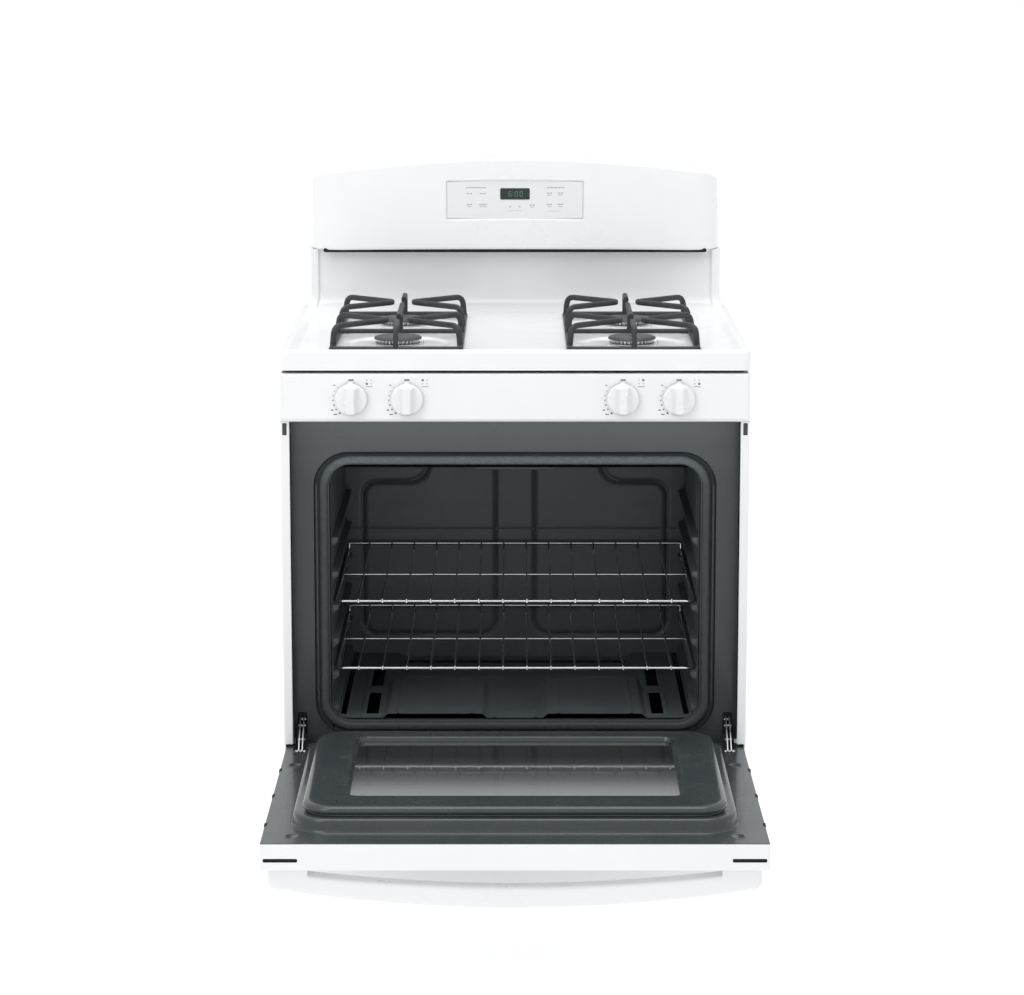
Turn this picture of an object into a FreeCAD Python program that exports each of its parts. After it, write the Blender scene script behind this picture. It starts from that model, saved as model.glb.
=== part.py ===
import FreeCAD, Part
import Sketcher
import os
import re

Vector = FreeCAD.Vector
Rotation = FreeCAD.Rotation
os.makedirs("parts", exist_ok=True)
doc = FreeCAD.newDocument("gas_range")
sheet = doc.addObject("Spreadsheet::Sheet", "dims")

# Driving dimensions in millimetres. X runs left to right seen from the front,
# Y runs back towards the wall, Z is up from the floor. Sub-parts are laid out about the middle
# of the cabinet, and then placed so that the origin is under the middle of the range, door open.
DRIVING = {
    # cabinet
    "halfWidth": 380, "skin": 1.2, "backY": 320, "flangeY": -306, "flangeInner": 366,
    "footTop": 30, "sideTop": 873, "baseTop": 34, "railInner": 320,
    "footX": 345, "footFrontY": -190, "footRearY": 290, "footRadius": 20, "cordX": -300, "cordZ": 120,
    # cooktop
    "lipY": -320, "cooktopBase": 878.5, "cooktopTop": 914, "cooktopFloor": 907, "rim": 12,
    "burnerX": 193, "burnerFrontY": -180, "burnerRearY": 68, "headRadius": 34, "capRadius": 39.5,
    # control panel and valves
    "panelBottom": 796, "panelTop": 872, "panelBackY": -262, "knobZ": 834,
    "knobOuterX": 264, "knobInnerX": 174, "knobRadius": 26, "stemRadius": 4, "plugRadius": 8,
    # grates
    "grateOuterX": 301, "grateInnerX": 84, "grateFrontY": -293, "grateRearY": 178,
    "grateBase": 910, "grateTop": 941, "grateBar": 9, "fingerBar": 8,
    # oven front frame and cavity
    "frameHalf": 364, "frameY": -258, "frameBottom": 203, "frameTop": 795,
    "openHalf": 304, "openBottom": 287, "openTop": 716, "openRadius": 34,
    "gasketInner": 306, "gasketOuter": 320, "gasketY": -272.4, "gasketBottom": 272, "gasketTop": 732.5,
    "gasketWidth": 14, "gasketBend": 52,
    "wallX": 303, "wall": 1.5, "cavityY": 220, "cavityTop": 712, "panZ": 214,
    "floorZ": 287, "rackLowZ": 366, "rackHighZ": 480, "rackPitch": 57, "rackHalf": 297,
    "rackFrontY": -220, "rackRearY": 205, "lampX": 250, "lampY": 196, "lampZ": 665,
    # riser and console
    "riserHalf": 365.5, "riserY": 257, "riserTop": 1017, "rearY": 318.8,
    "consoleSide": 1156, "consoleCrown": 1185, "keyHalf": 120, "keyLow": 1075.5, "keyHigh": 1141.5,
    # door, lying open
    "doorHalf": 376.5, "doorTipY": -861, "doorHeelY": -283, "doorUnder": 212.5, "doorInner": 254.2,
    "pivotY": -316.5, "pivotZ": 247.5, "pinRadius": 4, "hingeX": 352,
    "glassHalf": 255.5, "glassNearY": -379, "glassFarY": -725,
    "lowTierHalf": 336, "lowTierTop": 275, "highTierHalf": 320, "highTierTop": 291,
    "handleHalf": 366, "handleBlock": 59, "handleDrop": 32, "handleBow": 30, "handleDepth": 30,
    # drawer
    "drawerHalf": 330, "drawerFrontY": -352, "drawerTop": 195, "drawerBottom": 32,
    "runnerZ": 104, "drawerRearY": 180,
    # gas supply
    "inletX": 340, "inletZ": 80, "inletRadius": 9.3, "pipeX": 366, "pipeRadius": 6, "glandProud": 4,
}
for row, (alias, number) in enumerate(DRIVING.items(), start=1):
    sheet.set(f"A{row}", alias)
    sheet.set(f"B{row}", str(number))
    sheet.setAlias(f"B{row}", alias)
doc.recompute()

nodes = []


def val(alias):
    """The number in a cell of the sheet."""
    return float(sheet.get(alias))


def expr(text):
    """An expression whose words are cells of the sheet."""
    return re.sub(r"([a-z][A-Za-z]+)", r"dims.\1", str(text))


def node(shape, label):
    """Places a finished sub-part in the range's frame and names it, so that it is checked and written."""
    placed = doc.addObject("Part::Compound", label)
    placed.Links = [shape]
    placed.Label = label
    placed.setExpression("Placement.Base.y", expr("-(doorTipY + backY + glandProud) / 2"))
    nodes.append(placed)


def box(name, x, y, z):
    """A block between three pairs of limits, each an expression."""
    block = doc.addObject("Part::Box", name)
    for size, axis, (low, high) in (("Length", "x", x), ("Width", "y", y), ("Height", "z", z)):
        block.setExpression(size, expr(f"({high}) - ({low})"))
        block.setExpression(f"Placement.Base.{axis}", expr(low))
    return block


def rod(name, axis, start, radius, length):
    """A round bar from a start point along +x, +y or +z."""
    turns = {"x": Rotation(Vector(0, 1, 0), 90), "y": Rotation(Vector(1, 0, 0), -90), "z": Rotation()}
    bar = doc.addObject("Part::Cylinder", name)
    bar.Placement.Rotation = turns[axis]
    bar.setExpression("Radius", expr(radius))
    bar.setExpression("Height", expr(length))
    for direction, place in zip("xyz", start):
        bar.setExpression(f"Placement.Base.{direction}", expr(place))
    return bar


def fuse(name, shapes):
    """Several overlapping shapes as one solid."""
    union = doc.addObject("Part::MultiFuse", name)
    union.Shapes = shapes
    return union


def group(name, shapes):
    """Separate solids that share one sub-part."""
    several = doc.addObject("Part::Compound", name)
    several.Links = shapes
    return several


def cut(name, base, tools):
    """A base with every tool taken away."""
    tool = tools[0] if len(tools) == 1 else fuse(name + "_tools", tools)
    result = doc.addObject("Part::Cut", name)
    result.Base = base
    result.Tool = tool
    return result


def solid(name, shape):
    """A shape worked out with Part's own functions."""
    feature = doc.addObject("Part::Feature", name)
    feature.Shape = shape
    return feature


def span(side, inner, outer):
    """The pair of X limits of a piece on the right, or mirrored to the left."""
    return (inner, outer) if side > 0 else (f"-({outer})", f"-({inner})")


def polygon(points):
    """A closed face through points."""
    return Part.Face(Part.makePolygon([Vector(*p) for p in points + points[:1]]))


def sketchOn(body, role, name, offset="0"):
    """An empty sketch on one of a body's own origin planes, moved along its normal."""
    sketch = body.newObject("Sketcher::SketchObject", name)
    plane = next(f for f in body.Origin.OriginFeatures if f.Role == role)
    sketch.AttachmentSupport = [(plane, "")]
    sketch.MapMode = "FlatFace"
    sketch.setExpression("AttachmentOffset.Base.z", expr(offset))
    return sketch


def sketchRectangle(sketch, x, y):
    """Adds a rectangle whose four limits are bound to expressions."""
    first = sketch.GeometryCount
    guess = [Vector(-1, -1, 0), Vector(1, -1, 0), Vector(1, 1, 0), Vector(-1, 1, 0)]
    for start, end in zip(guess, guess[1:] + guess[:1]):
        sketch.addGeometry(Part.LineSegment(start, end), False)
    for side in range(4):
        sketch.addConstraint(Sketcher.Constraint("Coincident", first + side, 2, first + (side + 1) % 4, 1))
    for side, kind in enumerate(("Horizontal", "Vertical", "Horizontal", "Vertical")):
        sketch.addConstraint(Sketcher.Constraint(kind, first + side))
    limits = (("X", 0, x[0], -1), ("Y", 0, y[0], -1), ("X", 2, x[1], 1), ("Y", 2, y[1], 1))
    for axis, corner, limit, start in limits:
        distance = Sketcher.Constraint("Distance" + axis, -1, 1, first + corner, 1, start)
        index = sketch.addConstraint(distance)
        sketch.setExpression(f"Constraints[{index}]", expr(limit))


def ringPlate(label, outer, inner, frontY, thickness):
    """A frame in the XZ plane. Outer and inner are each a half width, a bottom, a top and a radius."""
    body = doc.addObject("PartDesign::Body", label + "_body")
    sketches = []
    for role, (half, bottom, top, _) in (("outline", outer), ("window", inner)):
        sketch = sketchOn(body, "XZ_Plane", f"{label}_{role}", f"-({frontY}) - ({thickness})")
        sketchRectangle(sketch, (f"-({half})", half), (bottom, top))
        sketches.append(sketch)
    pad = body.newObject("PartDesign::Pad", label + "_pad")
    pad.Profile = sketches[0]
    pad.setExpression("Length", expr(thickness))
    doc.recompute()
    pocket = body.newObject("PartDesign::Pocket", label + "_pocket")
    pocket.Profile = sketches[1]
    pocket.Reversed = True
    pocket.setExpression("Length", expr(thickness))
    doc.recompute()
    for role, (half, _, _, radius) in (("outer", outer), ("inner", inner)):
        if radius:
            roundOff(body, f"{label}_{role}_corners", cornerEdges(body.Tip.Shape, val(half)), radius)
            doc.recompute()
    return body


def cornerEdges(shape, reach):
    """The names of the straight edges along Y that stand at one distance either side of the middle."""
    names = []
    for number, edge in enumerate(shape.Edges, start=1):
        start, end = edge.Vertexes[0].Point, edge.Vertexes[-1].Point
        alongY = isinstance(edge.Curve, Part.Line) and abs(end.y - start.y) > 0.99 * edge.Length
        if alongY and abs(abs(start.x) - reach) < 0.01:
            names.append(f"Edge{number}")
    return names


def roundOff(body, name, edges, radius):
    """Rounds some edges of a body's last feature."""
    last = body.Tip
    fillet = body.newObject("PartDesign::Fillet", name)
    fillet.Base = (last, edges)
    fillet.setExpression("Radius", expr(radius))
    body.Tip = fillet


def pipe(points, radius, bend):
    """A tube along straight runs joined by tangent arcs of one bend radius."""
    corners = [Vector(*p) for p in points]
    edges = []
    start = corners[0]
    for before, corner, after in zip(corners, corners[1:], corners[2:]):
        incoming = (corner - before).normalize()
        outgoing = (after - corner).normalize()
        setBack = bend * ((1 - incoming.dot(outgoing)) / (1 + incoming.dot(outgoing))) ** 0.5
        arcStart = corner - incoming * setBack
        arcEnd = corner + outgoing * setBack
        inward = (outgoing - incoming).normalize()
        middle = corner + inward * ((bend**2 + setBack**2) ** 0.5 - bend)
        edges.append(Part.LineSegment(start, arcStart).toShape())
        edges.append(Part.Arc(arcStart, middle, arcEnd).toShape())
        start = arcEnd
    edges.append(Part.LineSegment(start, corners[-1]).toShape())
    path = Part.Wire(edges)
    profile = Part.Wire(Part.makeCircle(radius, corners[0], corners[1] - corners[0]))
    return path.makePipeShell([profile], True, True)


SIDES = (("left", -1), ("right", 1))

# ---------------------------------------------------------------- cabinet shell
for side, sign in SIDES:
    sheetMetal = box(side + "_panel_skin", span(sign, "halfWidth - skin", "halfWidth"),
                     ("flangeY", "backY"), ("footTop", "sideTop"))
    upper = box(side + "_panel_flange", span(sign, "flangeInner", "halfWidth"),
                ("flangeY", "flangeY + skin"), ("frameBottom + 55", "frameTop"))
    lower = box(side + "_panel_foot_flange", span(sign, "flangeInner", "halfWidth"),
                ("flangeY", "flangeY + skin"), ("footTop", "frameBottom - 7"))
    notch = box(side + "_panel_notch", span(sign, "halfWidth - 5", "halfWidth + 1"),
                ("flangeY - 1", "panelBackY + 1"), ("panelBottom - 1", "sideTop + 1"))
    slot = box(side + "_panel_slot", span(sign, "flangeInner + 3", "flangeInner + 11"),
               ("flangeY - 1", "flangeY + 3"), ("frameTop - 22", "frameTop - 2"))
    bent = fuse(side + "_panel_bent", [sheetMetal, upper, lower])
    node(cut(side + "_panel_cut", bent, [notch, slot]), side + "_side_panel")

rearLow = box("rear_low", ("-halfWidth + skin", "halfWidth - skin"), ("rearY", "backY"),
              ("40", "cooktopBase"))
rearHigh = box("rear_high", ("-riserHalf + 5", "riserHalf - 5"), ("rearY", "backY"),
               ("cooktopBase", "riserTop + 130"))
inletHole = rod("inlet_hole", "y", ("inletX", "rearY - 5", "inletZ"), "25", "12")
cordHole = rod("cord_hole", "y", ("cordX", "rearY - 5", "cordZ"), "11.1", "12")
node(cut("rear_cut", fuse("rear_sheet", [rearLow, rearHigh]), [inletHole, cordHole]), "back_panel")

glandFlange = rod("gland_flange", "y", ("cordX", "backY", "cordZ"), "15", "glandProud")
glandNeck = rod("gland_neck", "y", ("cordX", "rearY - 10", "cordZ"), "11", "backY - rearY + 10")
glandBore = rod("gland_bore", "y", ("cordX", "rearY - 12", "cordZ"), "4.5", "30")
node(cut("gland_cut", fuse("gland", [glandFlange, glandNeck]), [glandBore]), "power_cord_gland")

rails = [box(side + "_base_rail", span(sign, "railInner", "halfWidth - skin"), ("-290", "310"),
             ("footTop", "baseTop"))
         for side, sign in SIDES]
crossRear = box("base_cross_rear", ("-halfWidth + skin", "halfWidth - skin"), ("290", "310"),
                ("footTop", "60"))
crossFront = box("base_cross_front", ("-halfWidth + skin", "halfWidth - skin"), ("-290", "-262"),
                 ("footTop", "baseTop"))
node(fuse("base_fuse", rails + [crossRear, crossFront]), "base_frame")

feet = []
for side, sign in SIDES:
    for end, footY in (("front", "footFrontY"), ("rear", "footRearY")):
        pad = rod(f"{side}_{end}_pad", "z", (f"{sign} * footX", footY, "0"), "footRadius", "10")
        stud = rod(f"{side}_{end}_stud", "z", (f"{sign} * footX", footY, "10"), "footRadius / 4",
                   "footTop - 10")
        feet.append(fuse(f"{side}_{end}_foot", [pad, stud]))
node(group("feet", feet), "levelling_feet")

# ---------------------------------------------------------------- oven front frame and gasket
framePlate = ringPlate("frame", ("frameHalf", "frameBottom", "frameTop", ""),
                       ("openHalf", "openBottom", "openTop", "openRadius"), "frameY", "skin")
returns = [box(side + "_frame_return", span(sign, "frameHalf - skin", "frameHalf"), ("-304", "frameY"),
               ("frameBottom + 57", "frameTop")) for side, sign in SIDES]
topReturn = box("frame_top_return", ("-frameHalf", "frameHalf"), ("-304", "frameY"),
                ("frameTop - skin", "frameTop"))
hingeSlots = [box(side + "_hinge_slot", span(sign, "hingeX - 7.5", "hingeX + 7.5"),
                  ("frameY - 1", "frameY + 3"),
                  ("262", "300")) for side, sign in SIDES]
node(cut("frame_cut", fuse("frame_fuse", [framePlate, topReturn] + returns), hingeSlots), "oven_front_frame")

gasketHole = ("gasketInner", "gasketBottom + gasketWidth", "gasketTop - gasketWidth",
              "gasketBend - gasketWidth")
gasket = ringPlate("gasket", ("gasketOuter", "gasketBottom", "gasketTop", "gasketBend"), gasketHole,
                   "gasketY", "frameY - gasketY")
node(gasket, "oven_gasket")

# ---------------------------------------------------------------- oven cavity
CAVITY_Y = ("frameY + skin", "cavityY + wall")
for side, sign in SIDES:
    node(box(side + "_wall", span(sign, "wallX", "wallX + wall"), CAVITY_Y, ("panZ", "cavityTop")),
         f"oven_{side}_wall")
node(box("ceiling", ("-wallX - wall", "wallX + wall"), CAVITY_Y, ("cavityTop", "cavityTop + wall")),
     "oven_ceiling")
node(box("back_wall", ("-wallX", "wallX"), ("cavityY", "cavityY + wall"), ("panZ", "cavityTop")),
     "oven_back_wall")
node(box("pan", ("-wallX - wall", "wallX + wall"), CAVITY_Y, ("panZ - wall", "panZ")), "burner_box_pan")

floorSheet = box("floor_sheet", ("-wallX + 1", "wallX - 1"), ("frameY + 4", "cavityY - 0.5"),
                 ("floorZ", "floorZ + 1.5"))
floorSlots = [box("floor_rear_slot", ("-198", "198"), ("167", "190"), ("floorZ - 2", "floorZ + 4"))]
for side, sign in SIDES:
    floorSlots.append(box(side + "_floor_slot_rear", span(sign, "228", "248"), ("-32", "104"),
                          ("floorZ - 2", "floorZ + 4")))
    floorSlots.append(box(side + "_floor_slot_front", span(sign, "228", "248"), ("-226", "-83"),
                          ("floorZ - 2", "floorZ + 4")))
node(cut("floor_cut", floorSheet, floorSlots), "oven_floor_panel")

ledges = []
for side, sign in SIDES:
    ledges.append(box(side + "_floor_ledge", span(sign, "wallX - 8", "wallX"), ("-240", "215"),
                      ("floorZ - 4", "floorZ")))
    for step in range(-1, 5):
        ledges.append(box(f"{side}_ledge_{step + 1}", span(sign, "wallX - 11", "wallX"), ("-235", "215"),
                          (f"rackLowZ + {step} * rackPitch - 6.8", f"rackLowZ + {step} * rackPitch - 2.8")))
node(group("ledges", ledges), "rack_guides")

blanket = [box(side + "_blanket", span(sign, "306", "358"), ("-250", "221"), ("230", "712")) for side,
           sign in SIDES]
blanket.append(box("top_blanket", ("-358", "358"), ("-250", "221"), ("716", "766")))
lampRoom = box("lamp_room", ("lampX - 35", "lampX + 35"), ("222", "262"), ("lampZ - 35", "lampZ + 35"))
blanket.append(cut("rear_blanket", box("rear_wool", ("-300", "300"), ("223", "290"), ("230", "712")),
                   [lampRoom]))
node(group("blankets", blanket), "oven_insulation")

bakeTube = rod("bake_tube", "y", ("0", "-200", "250"), "12", "415")
bakeFoot = box("bake_foot", ("-15", "15"), ("-205", "-200"), ("panZ", "262"))
node(fuse("bake_fuse", [bakeTube, bakeFoot]), "bake_burner")
igniterFoot = box("igniter_foot", ("22", "24"), ("-60", "-10"), ("panZ", "240"))
igniterBar = box("igniter_bar", ("16", "30"), ("-60", "-10"), ("240", "262"))
node(fuse("igniter_fuse", [igniterFoot, igniterBar]), "bake_igniter")
broilBox = box("broil_box", ("-75", "75"), ("-160", "200"), ("690", "706"))
hangers = [box(end + "_hanger", ("-20", "20"), (low, high), ("706", "cavityTop"))
           for end, low, high in (("front", "-150", "-140"), ("rear", "180", "190"))]
node(fuse("broil_fuse", [broilBox] + hangers), "broil_burner")
probe = rod("probe", "y", ("-250", "130", "660"), "2.5", "90")
probePlate = box("probe_plate", ("-262", "-238"), ("cavityY - 1.2", "cavityY"), ("652", "668"))
node(fuse("probe_fuse", [probe, probePlate]), "temperature_sensor")

lampOuter = rod("lamp_outer", "y", ("lampX", "lampY", "lampZ"), "32", "cavityY - lampY")
lampInner = rod("lamp_inner", "y", ("lampX", "lampY + 3", "lampZ"), "29", "cavityY - lampY - 2")
node(cut("lamp_cup", lampOuter, [lampInner]), "oven_lamp_cover")
bulb = rod("bulb", "y", ("lampX", "lampY + 8", "lampZ"), "10", "cavityY - lampY - 8")
socket = rod("socket", "y", ("lampX", "cavityY + wall", "lampZ"), "14", "28")
node(group("lamp_parts", [bulb, socket]), "oven_lamp")

# ---------------------------------------------------------------- control panel, valves and knobs
KNOBS = (("left_rear", "-knobOuterX"), ("left_front", "-knobInnerX"),
         ("right_front", "knobInnerX"), ("right_rear", "knobOuterX"))
panelOuter = box("panel_outer", ("-halfWidth", "halfWidth"), ("lipY", "panelBackY"),
                 ("panelBottom", "panelTop"))
panelInner = box("panel_inner", ("-halfWidth + skin", "halfWidth - skin"), ("lipY + wall", "panelBackY + 1"),
                 ("panelBottom + skin", "panelTop - skin"))
stemHoles = [rod(name + "_hole", "y", (x, "lipY - 2", "knobZ"), "plugRadius", "8") for name, x in KNOBS]
node(cut("panel_cut", panelOuter, [panelInner] + stemHoles), "control_panel")

manifoldOuter = rod("manifold_outer", "x", ("-300", "-264", "knobZ"), "8", "600")
manifoldBore = rod("manifold_bore", "x", ("-302", "-264", "knobZ"), "6.4", "604")
node(cut("manifold_cut", manifoldOuter, [manifoldBore]), "gas_manifold")

valves = []
for name, x in KNOBS:
    block = box(name + "_valve_block", (f"{x} - 13", f"{x} + 13"), ("-308", "-272"),
                ("knobZ - 13", "knobZ + 13"))
    seat = rod(name + "_valve_seat", "y", (x, "-310", "knobZ"), "plugRadius + 0.05", "29.5")
    valves.append(cut(name + "_valve", block, [seat]))
node(group("valve_blocks", valves), "burner_valve_bodies")

for name, x in KNOBS:
    plugBar = rod(name + "_plug_bar", "y", (x, "-307", "knobZ"), "plugRadius", "26")
    plugBore = rod(name + "_plug_bore", "y", (x, "-308", "knobZ"), "stemRadius + 0.05", "22")
    plugFlat = box(name + "_plug_flat", (f"{x} - 5", f"{x} + 5"), ("-309", "-285"),
                   ("knobZ - 5", "knobZ - 2.9"))
    keyed = cut(name + "_plug_key", plugBore, [plugFlat])
    node(cut(name + "_plug_cut", plugBar, [keyed]), f"valve_plug_{name}")

    skirt = rod(name + "_skirt", "y", (x, "lipY - 12", "knobZ"), "knobRadius", "8.2")
    grip = box(name + "_grip", (f"{x} - 6", f"{x} + 6"), ("lipY - 29", "lipY - 11"),
               ("knobZ - knobRadius + 1.5", "knobZ + knobRadius - 0.5"))
    shaft = rod(name + "_shaft", "y", (x, "lipY - 5", "knobZ"), "stemRadius", "32")
    shaftFlat = box(name + "_shaft_flat", (f"{x} - 5", f"{x} + 5"), ("-310", "-290"),
                    ("knobZ - 5", "knobZ - 2.8"))
    node(cut(name + "_knob_cut", fuse(name + "_knob_fuse", [skirt, grip, shaft]), [shaftFlat]),
         f"knob_{name}")

# ---------------------------------------------------------------- cooktop and burners
BURNERS = [(f"{side}_{end}", sign, y) for side, sign in SIDES
           for end, y in (("front", "burnerFrontY"), ("rear", "burnerRearY"))]
topOuter = box("top_outer", ("-halfWidth", "halfWidth"), ("lipY", "300"), ("cooktopBase", "cooktopTop"))
topRecess = box("top_recess", ("-halfWidth + rim", "halfWidth - rim"), ("lipY + rim", "riserY"),
                ("cooktopFloor", "cooktopTop + 1"))
topUnder = box("top_under", ("-halfWidth + wall", "halfWidth - wall"), ("lipY + wall", "298.5"),
               ("cooktopBase - 1", "cooktopFloor - wall"))
topHoles = [rod(name + "_well", "z", (f"{sign} * burnerX", y, "cooktopFloor - 3"), "24", "6")
            for name, sign, y in BURNERS]
topHoles += [rod(name + "_spark_hole", "z", (f"{sign} * burnerX + 38", y, "cooktopFloor - 3"), "3", "6")
             for name, sign, y in BURNERS]
node(cut("top_cut", topOuter, [topUnder, topRecess] + topHoles), "cooktop")

heads, caps, sparks = [], [], []
for name, sign, y in BURNERS:
    x = f"{sign} * burnerX"
    neck = rod(name + "_neck", "z", (x, y, "890"), "23.5", "cooktopFloor - 890")
    flange = rod(name + "_flange", "z", (x, y, "cooktopFloor"), "headRadius", "7")
    throat = rod(name + "_throat", "z", (x, y, "888"), "17", "22")
    heads.append(cut(name + "_head", fuse(name + "_head_fuse", [neck, flange]), [throat]))
    caps.append(rod(name + "_cap", "z", (x, y, "cooktopFloor + 7"), "capRadius", "6"))
    sparks.append(rod(name + "_spark", "z", (f"{x} + 38", y, "895"), "2.5", "17"))
node(group("head_group", heads), "burner_heads")
node(group("cap_group", caps), "burner_caps")
node(group("spark_group", sparks), "spark_electrodes")

tubes = []
for (name, sign, y), valveX in zip(BURNERS, ("knobInnerX", "knobOuterX", "knobInnerX", "knobOuterX")):
    x = sign * val(valveX)
    burner = Vector(sign * val("burnerX"), val(y), 884)
    run = [(x, -290, val("knobZ") + 13), (x, -290, 866), (burner.x, burner.y, 866), (burner.x, burner.y, 884)]
    tubes.append(solid(name + "_tube", pipe(run, 3.2, 8)))
node(group("tube_group", tubes), "burner_gas_tubes")

# ---------------------------------------------------------------- grates


def grateShape(sign):
    """One grate: a base frame, hairpin fingers from both sides, and straight fingers fore and aft."""
    bar, finger = val("grateBar"), val("fingerBar")
    front, rear = val("grateFrontY"), val("grateRearY")
    middle = (val("burnerFrontY") + val("burnerRearY")) / 2 - 8
    base, top, burnerX = val("grateBase"), val("grateTop"), val("burnerX")
    left, right = -val("grateOuterX"), -val("grateInnerX")
    rails = [(left, right, front, front + bar), (left, right, rear - bar, rear),
             (left, left + bar, front, rear), (right - bar, right, front, rear),
             (left, right, middle - bar / 2, middle + bar / 2)]
    pieces = [Part.makeBox(x1 - x0, y1 - y0, 10, Vector(x0, y0, base)) for x0, x1, y0, y1 in rails]
    for cornerX in (left, right - bar):
        for cornerY in (front, rear - bar):
            pieces.append(Part.makeBox(bar, bar, 4, Vector(cornerX, cornerY, base - 2.7)))
    for burnerY in (val("burnerFrontY"), val("burnerRearY")):
        for edge, inner in ((left, 1), (right, -1)):
            for reach in (-1, 1):
                start = Vector(edge + inner * bar / 2, burnerY + reach * 82 - 4, 0)
                tip = Vector(-burnerX - inner * 22, burnerY + reach * 6, 0)
                pieces.append(beam(start, tip, finger, top - 10, top))
                pieces.append(beam(start, start + Vector(inner * finger, 0, 0), finger, base, top))
    spans = ((front, val("burnerFrontY") - 22), (val("burnerFrontY") + 43, val("burnerRearY") - 43),
             (val("burnerRearY") + 32, rear))
    for y0, y1 in spans:
        pieces.append(Part.makeBox(finger, y1 - y0, 10, Vector(-burnerX - finger / 2, y0, top - 10)))
    for postY in (front, middle - finger / 2, rear - finger):
        pieces.append(Part.makeBox(finger, finger, top - base, Vector(-burnerX - finger / 2, postY, base)))
    shape = pieces[0].multiFuse(pieces[1:]).removeSplitter()
    if sign > 0:
        shape = shape.mirror(Vector(0, 0, 0), Vector(1, 0, 0))
    return shape


def beam(start, end, width, low, high):
    """A straight bar of one width between two plan points, from one height to another."""
    along = (end - start).normalize()
    across = Vector(-along.y, along.x, 0) * (width / 2)
    corners = [start + across, start - across, end - across, end + across]
    face = polygon([(c.x, c.y, low) for c in corners])
    return face.extrude(Vector(0, 0, high - low))


for side, sign in SIDES:
    node(solid(side + "_grate_shape", grateShape(sign)), side + "_grate")

# ---------------------------------------------------------------- riser and console
riserOuter = box("riser_outer", ("-riserHalf", "riserHalf"), ("riserY", "rearY"), ("cooktopTop", "riserTop"))
riserInner = box("riser_inner", ("-riserHalf + skin", "riserHalf - skin"), ("riserY + skin", "rearY - skin"),
                 ("cooktopTop - 1", "riserTop - skin"))
node(cut("riser_cut", riserOuter, [riserInner]), "backguard_riser")


def consoleShape():
    """The console: an arched front outline, crossed with a plan that bows towards the front."""
    low, high, crown, half = val("riserTop"), val("consoleSide"), val("consoleCrown"), val("riserHalf") - 1.5
    outline = [
        Part.Arc(Vector(-half, 0, low), Vector(0, 0, low + 4), Vector(half, 0, low)),
        Part.LineSegment(Vector(half, 0, low), Vector(half - 3, 0, high - 8)),
        Part.Arc(Vector(half - 3, 0, high - 8), Vector(half - 4.8, 0, high - 2), Vector(half - 10, 0, high)),
        Part.Arc(Vector(half - 10, 0, high), Vector(0, 0, crown), Vector(10 - half, 0, high)),
        Part.Arc(Vector(10 - half, 0, high), Vector(4.8 - half, 0, high - 2), Vector(3 - half, 0, high - 8)),
        Part.LineSegment(Vector(3 - half, 0, high - 8), Vector(-half, 0, low)),
    ]
    front = Part.Face(Part.Wire([curve.toShape() for curve in outline])).extrude(Vector(0, 400, 0))
    back = val("rearY")
    plan = [
        Part.LineSegment(Vector(-half, back, 0), Vector(-half, 285, 0)),
        Part.Arc(Vector(-half, 285, 0), Vector(-346, 246, 0), Vector(-304, 228, 0)),
        Part.Arc(Vector(-304, 228, 0), Vector(0, 215, 0), Vector(304, 228, 0)),
        Part.Arc(Vector(304, 228, 0), Vector(346, 246, 0), Vector(half, 285, 0)),
        Part.LineSegment(Vector(half, 285, 0), Vector(half, back, 0)),
        Part.LineSegment(Vector(half, back, 0), Vector(-half, back, 0)),
    ]
    level = Part.Face(Part.Wire([curve.toShape() for curve in plan])).extrude(Vector(0, 0, 1300))
    return front.common(level)


consoleRoom = box("console_room", ("-300", "300"), ("231", "rearY - 2"), ("riserTop + 7", "1146"))
keyRecess = box("key_recess", ("-keyHalf - 0.5", "keyHalf + 0.5"), ("200", "219"),
                ("keyLow - 0.5", "keyHigh + 0.5"))
node(cut("console_cut", solid("console_outer", consoleShape()), [consoleRoom, keyRecess]), "console_housing")
node(box("keys", ("-keyHalf", "keyHalf"), ("217.6", "219"), ("keyLow", "keyHigh")), "touch_panel")
node(box("display", ("-26", "26"), ("217", "217.6"), ("1109", "1129")), "display_window")
node(box("board", ("-110", "110"), ("233", "235"), ("1080", "1135")), "clock_board")

# ---------------------------------------------------------------- gas supply
regulatorBlock = box("regulator_block", ("320", "374"), ("240", "300"), ("60", "100"))
inletBoss = rod("inlet_boss", "y", ("inletX", "299", "inletZ"), "15", "rearY - 300")
outletBoss = rod("outlet_boss", "z", ("pipeX", "262", "99"), "8", "21")
inletBore = rod("inlet_bore", "y", ("inletX", "rearY - 19", "inletZ"), "inletRadius", "20")
node(cut("regulator_cut", fuse("regulator_fuse", [regulatorBlock, inletBoss, outletBoss]), [inletBore]),
     "gas_regulator")
pipeRun = [(val("pipeX"), 262, 120), (val("pipeX"), 262, val("knobZ")), (val("pipeX"), -264, val("knobZ")),
           (300, -264, val("knobZ"))]
node(solid("supply_run", pipe(pipeRun, val("pipeRadius"), 25)), "gas_supply_pipe")

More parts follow.
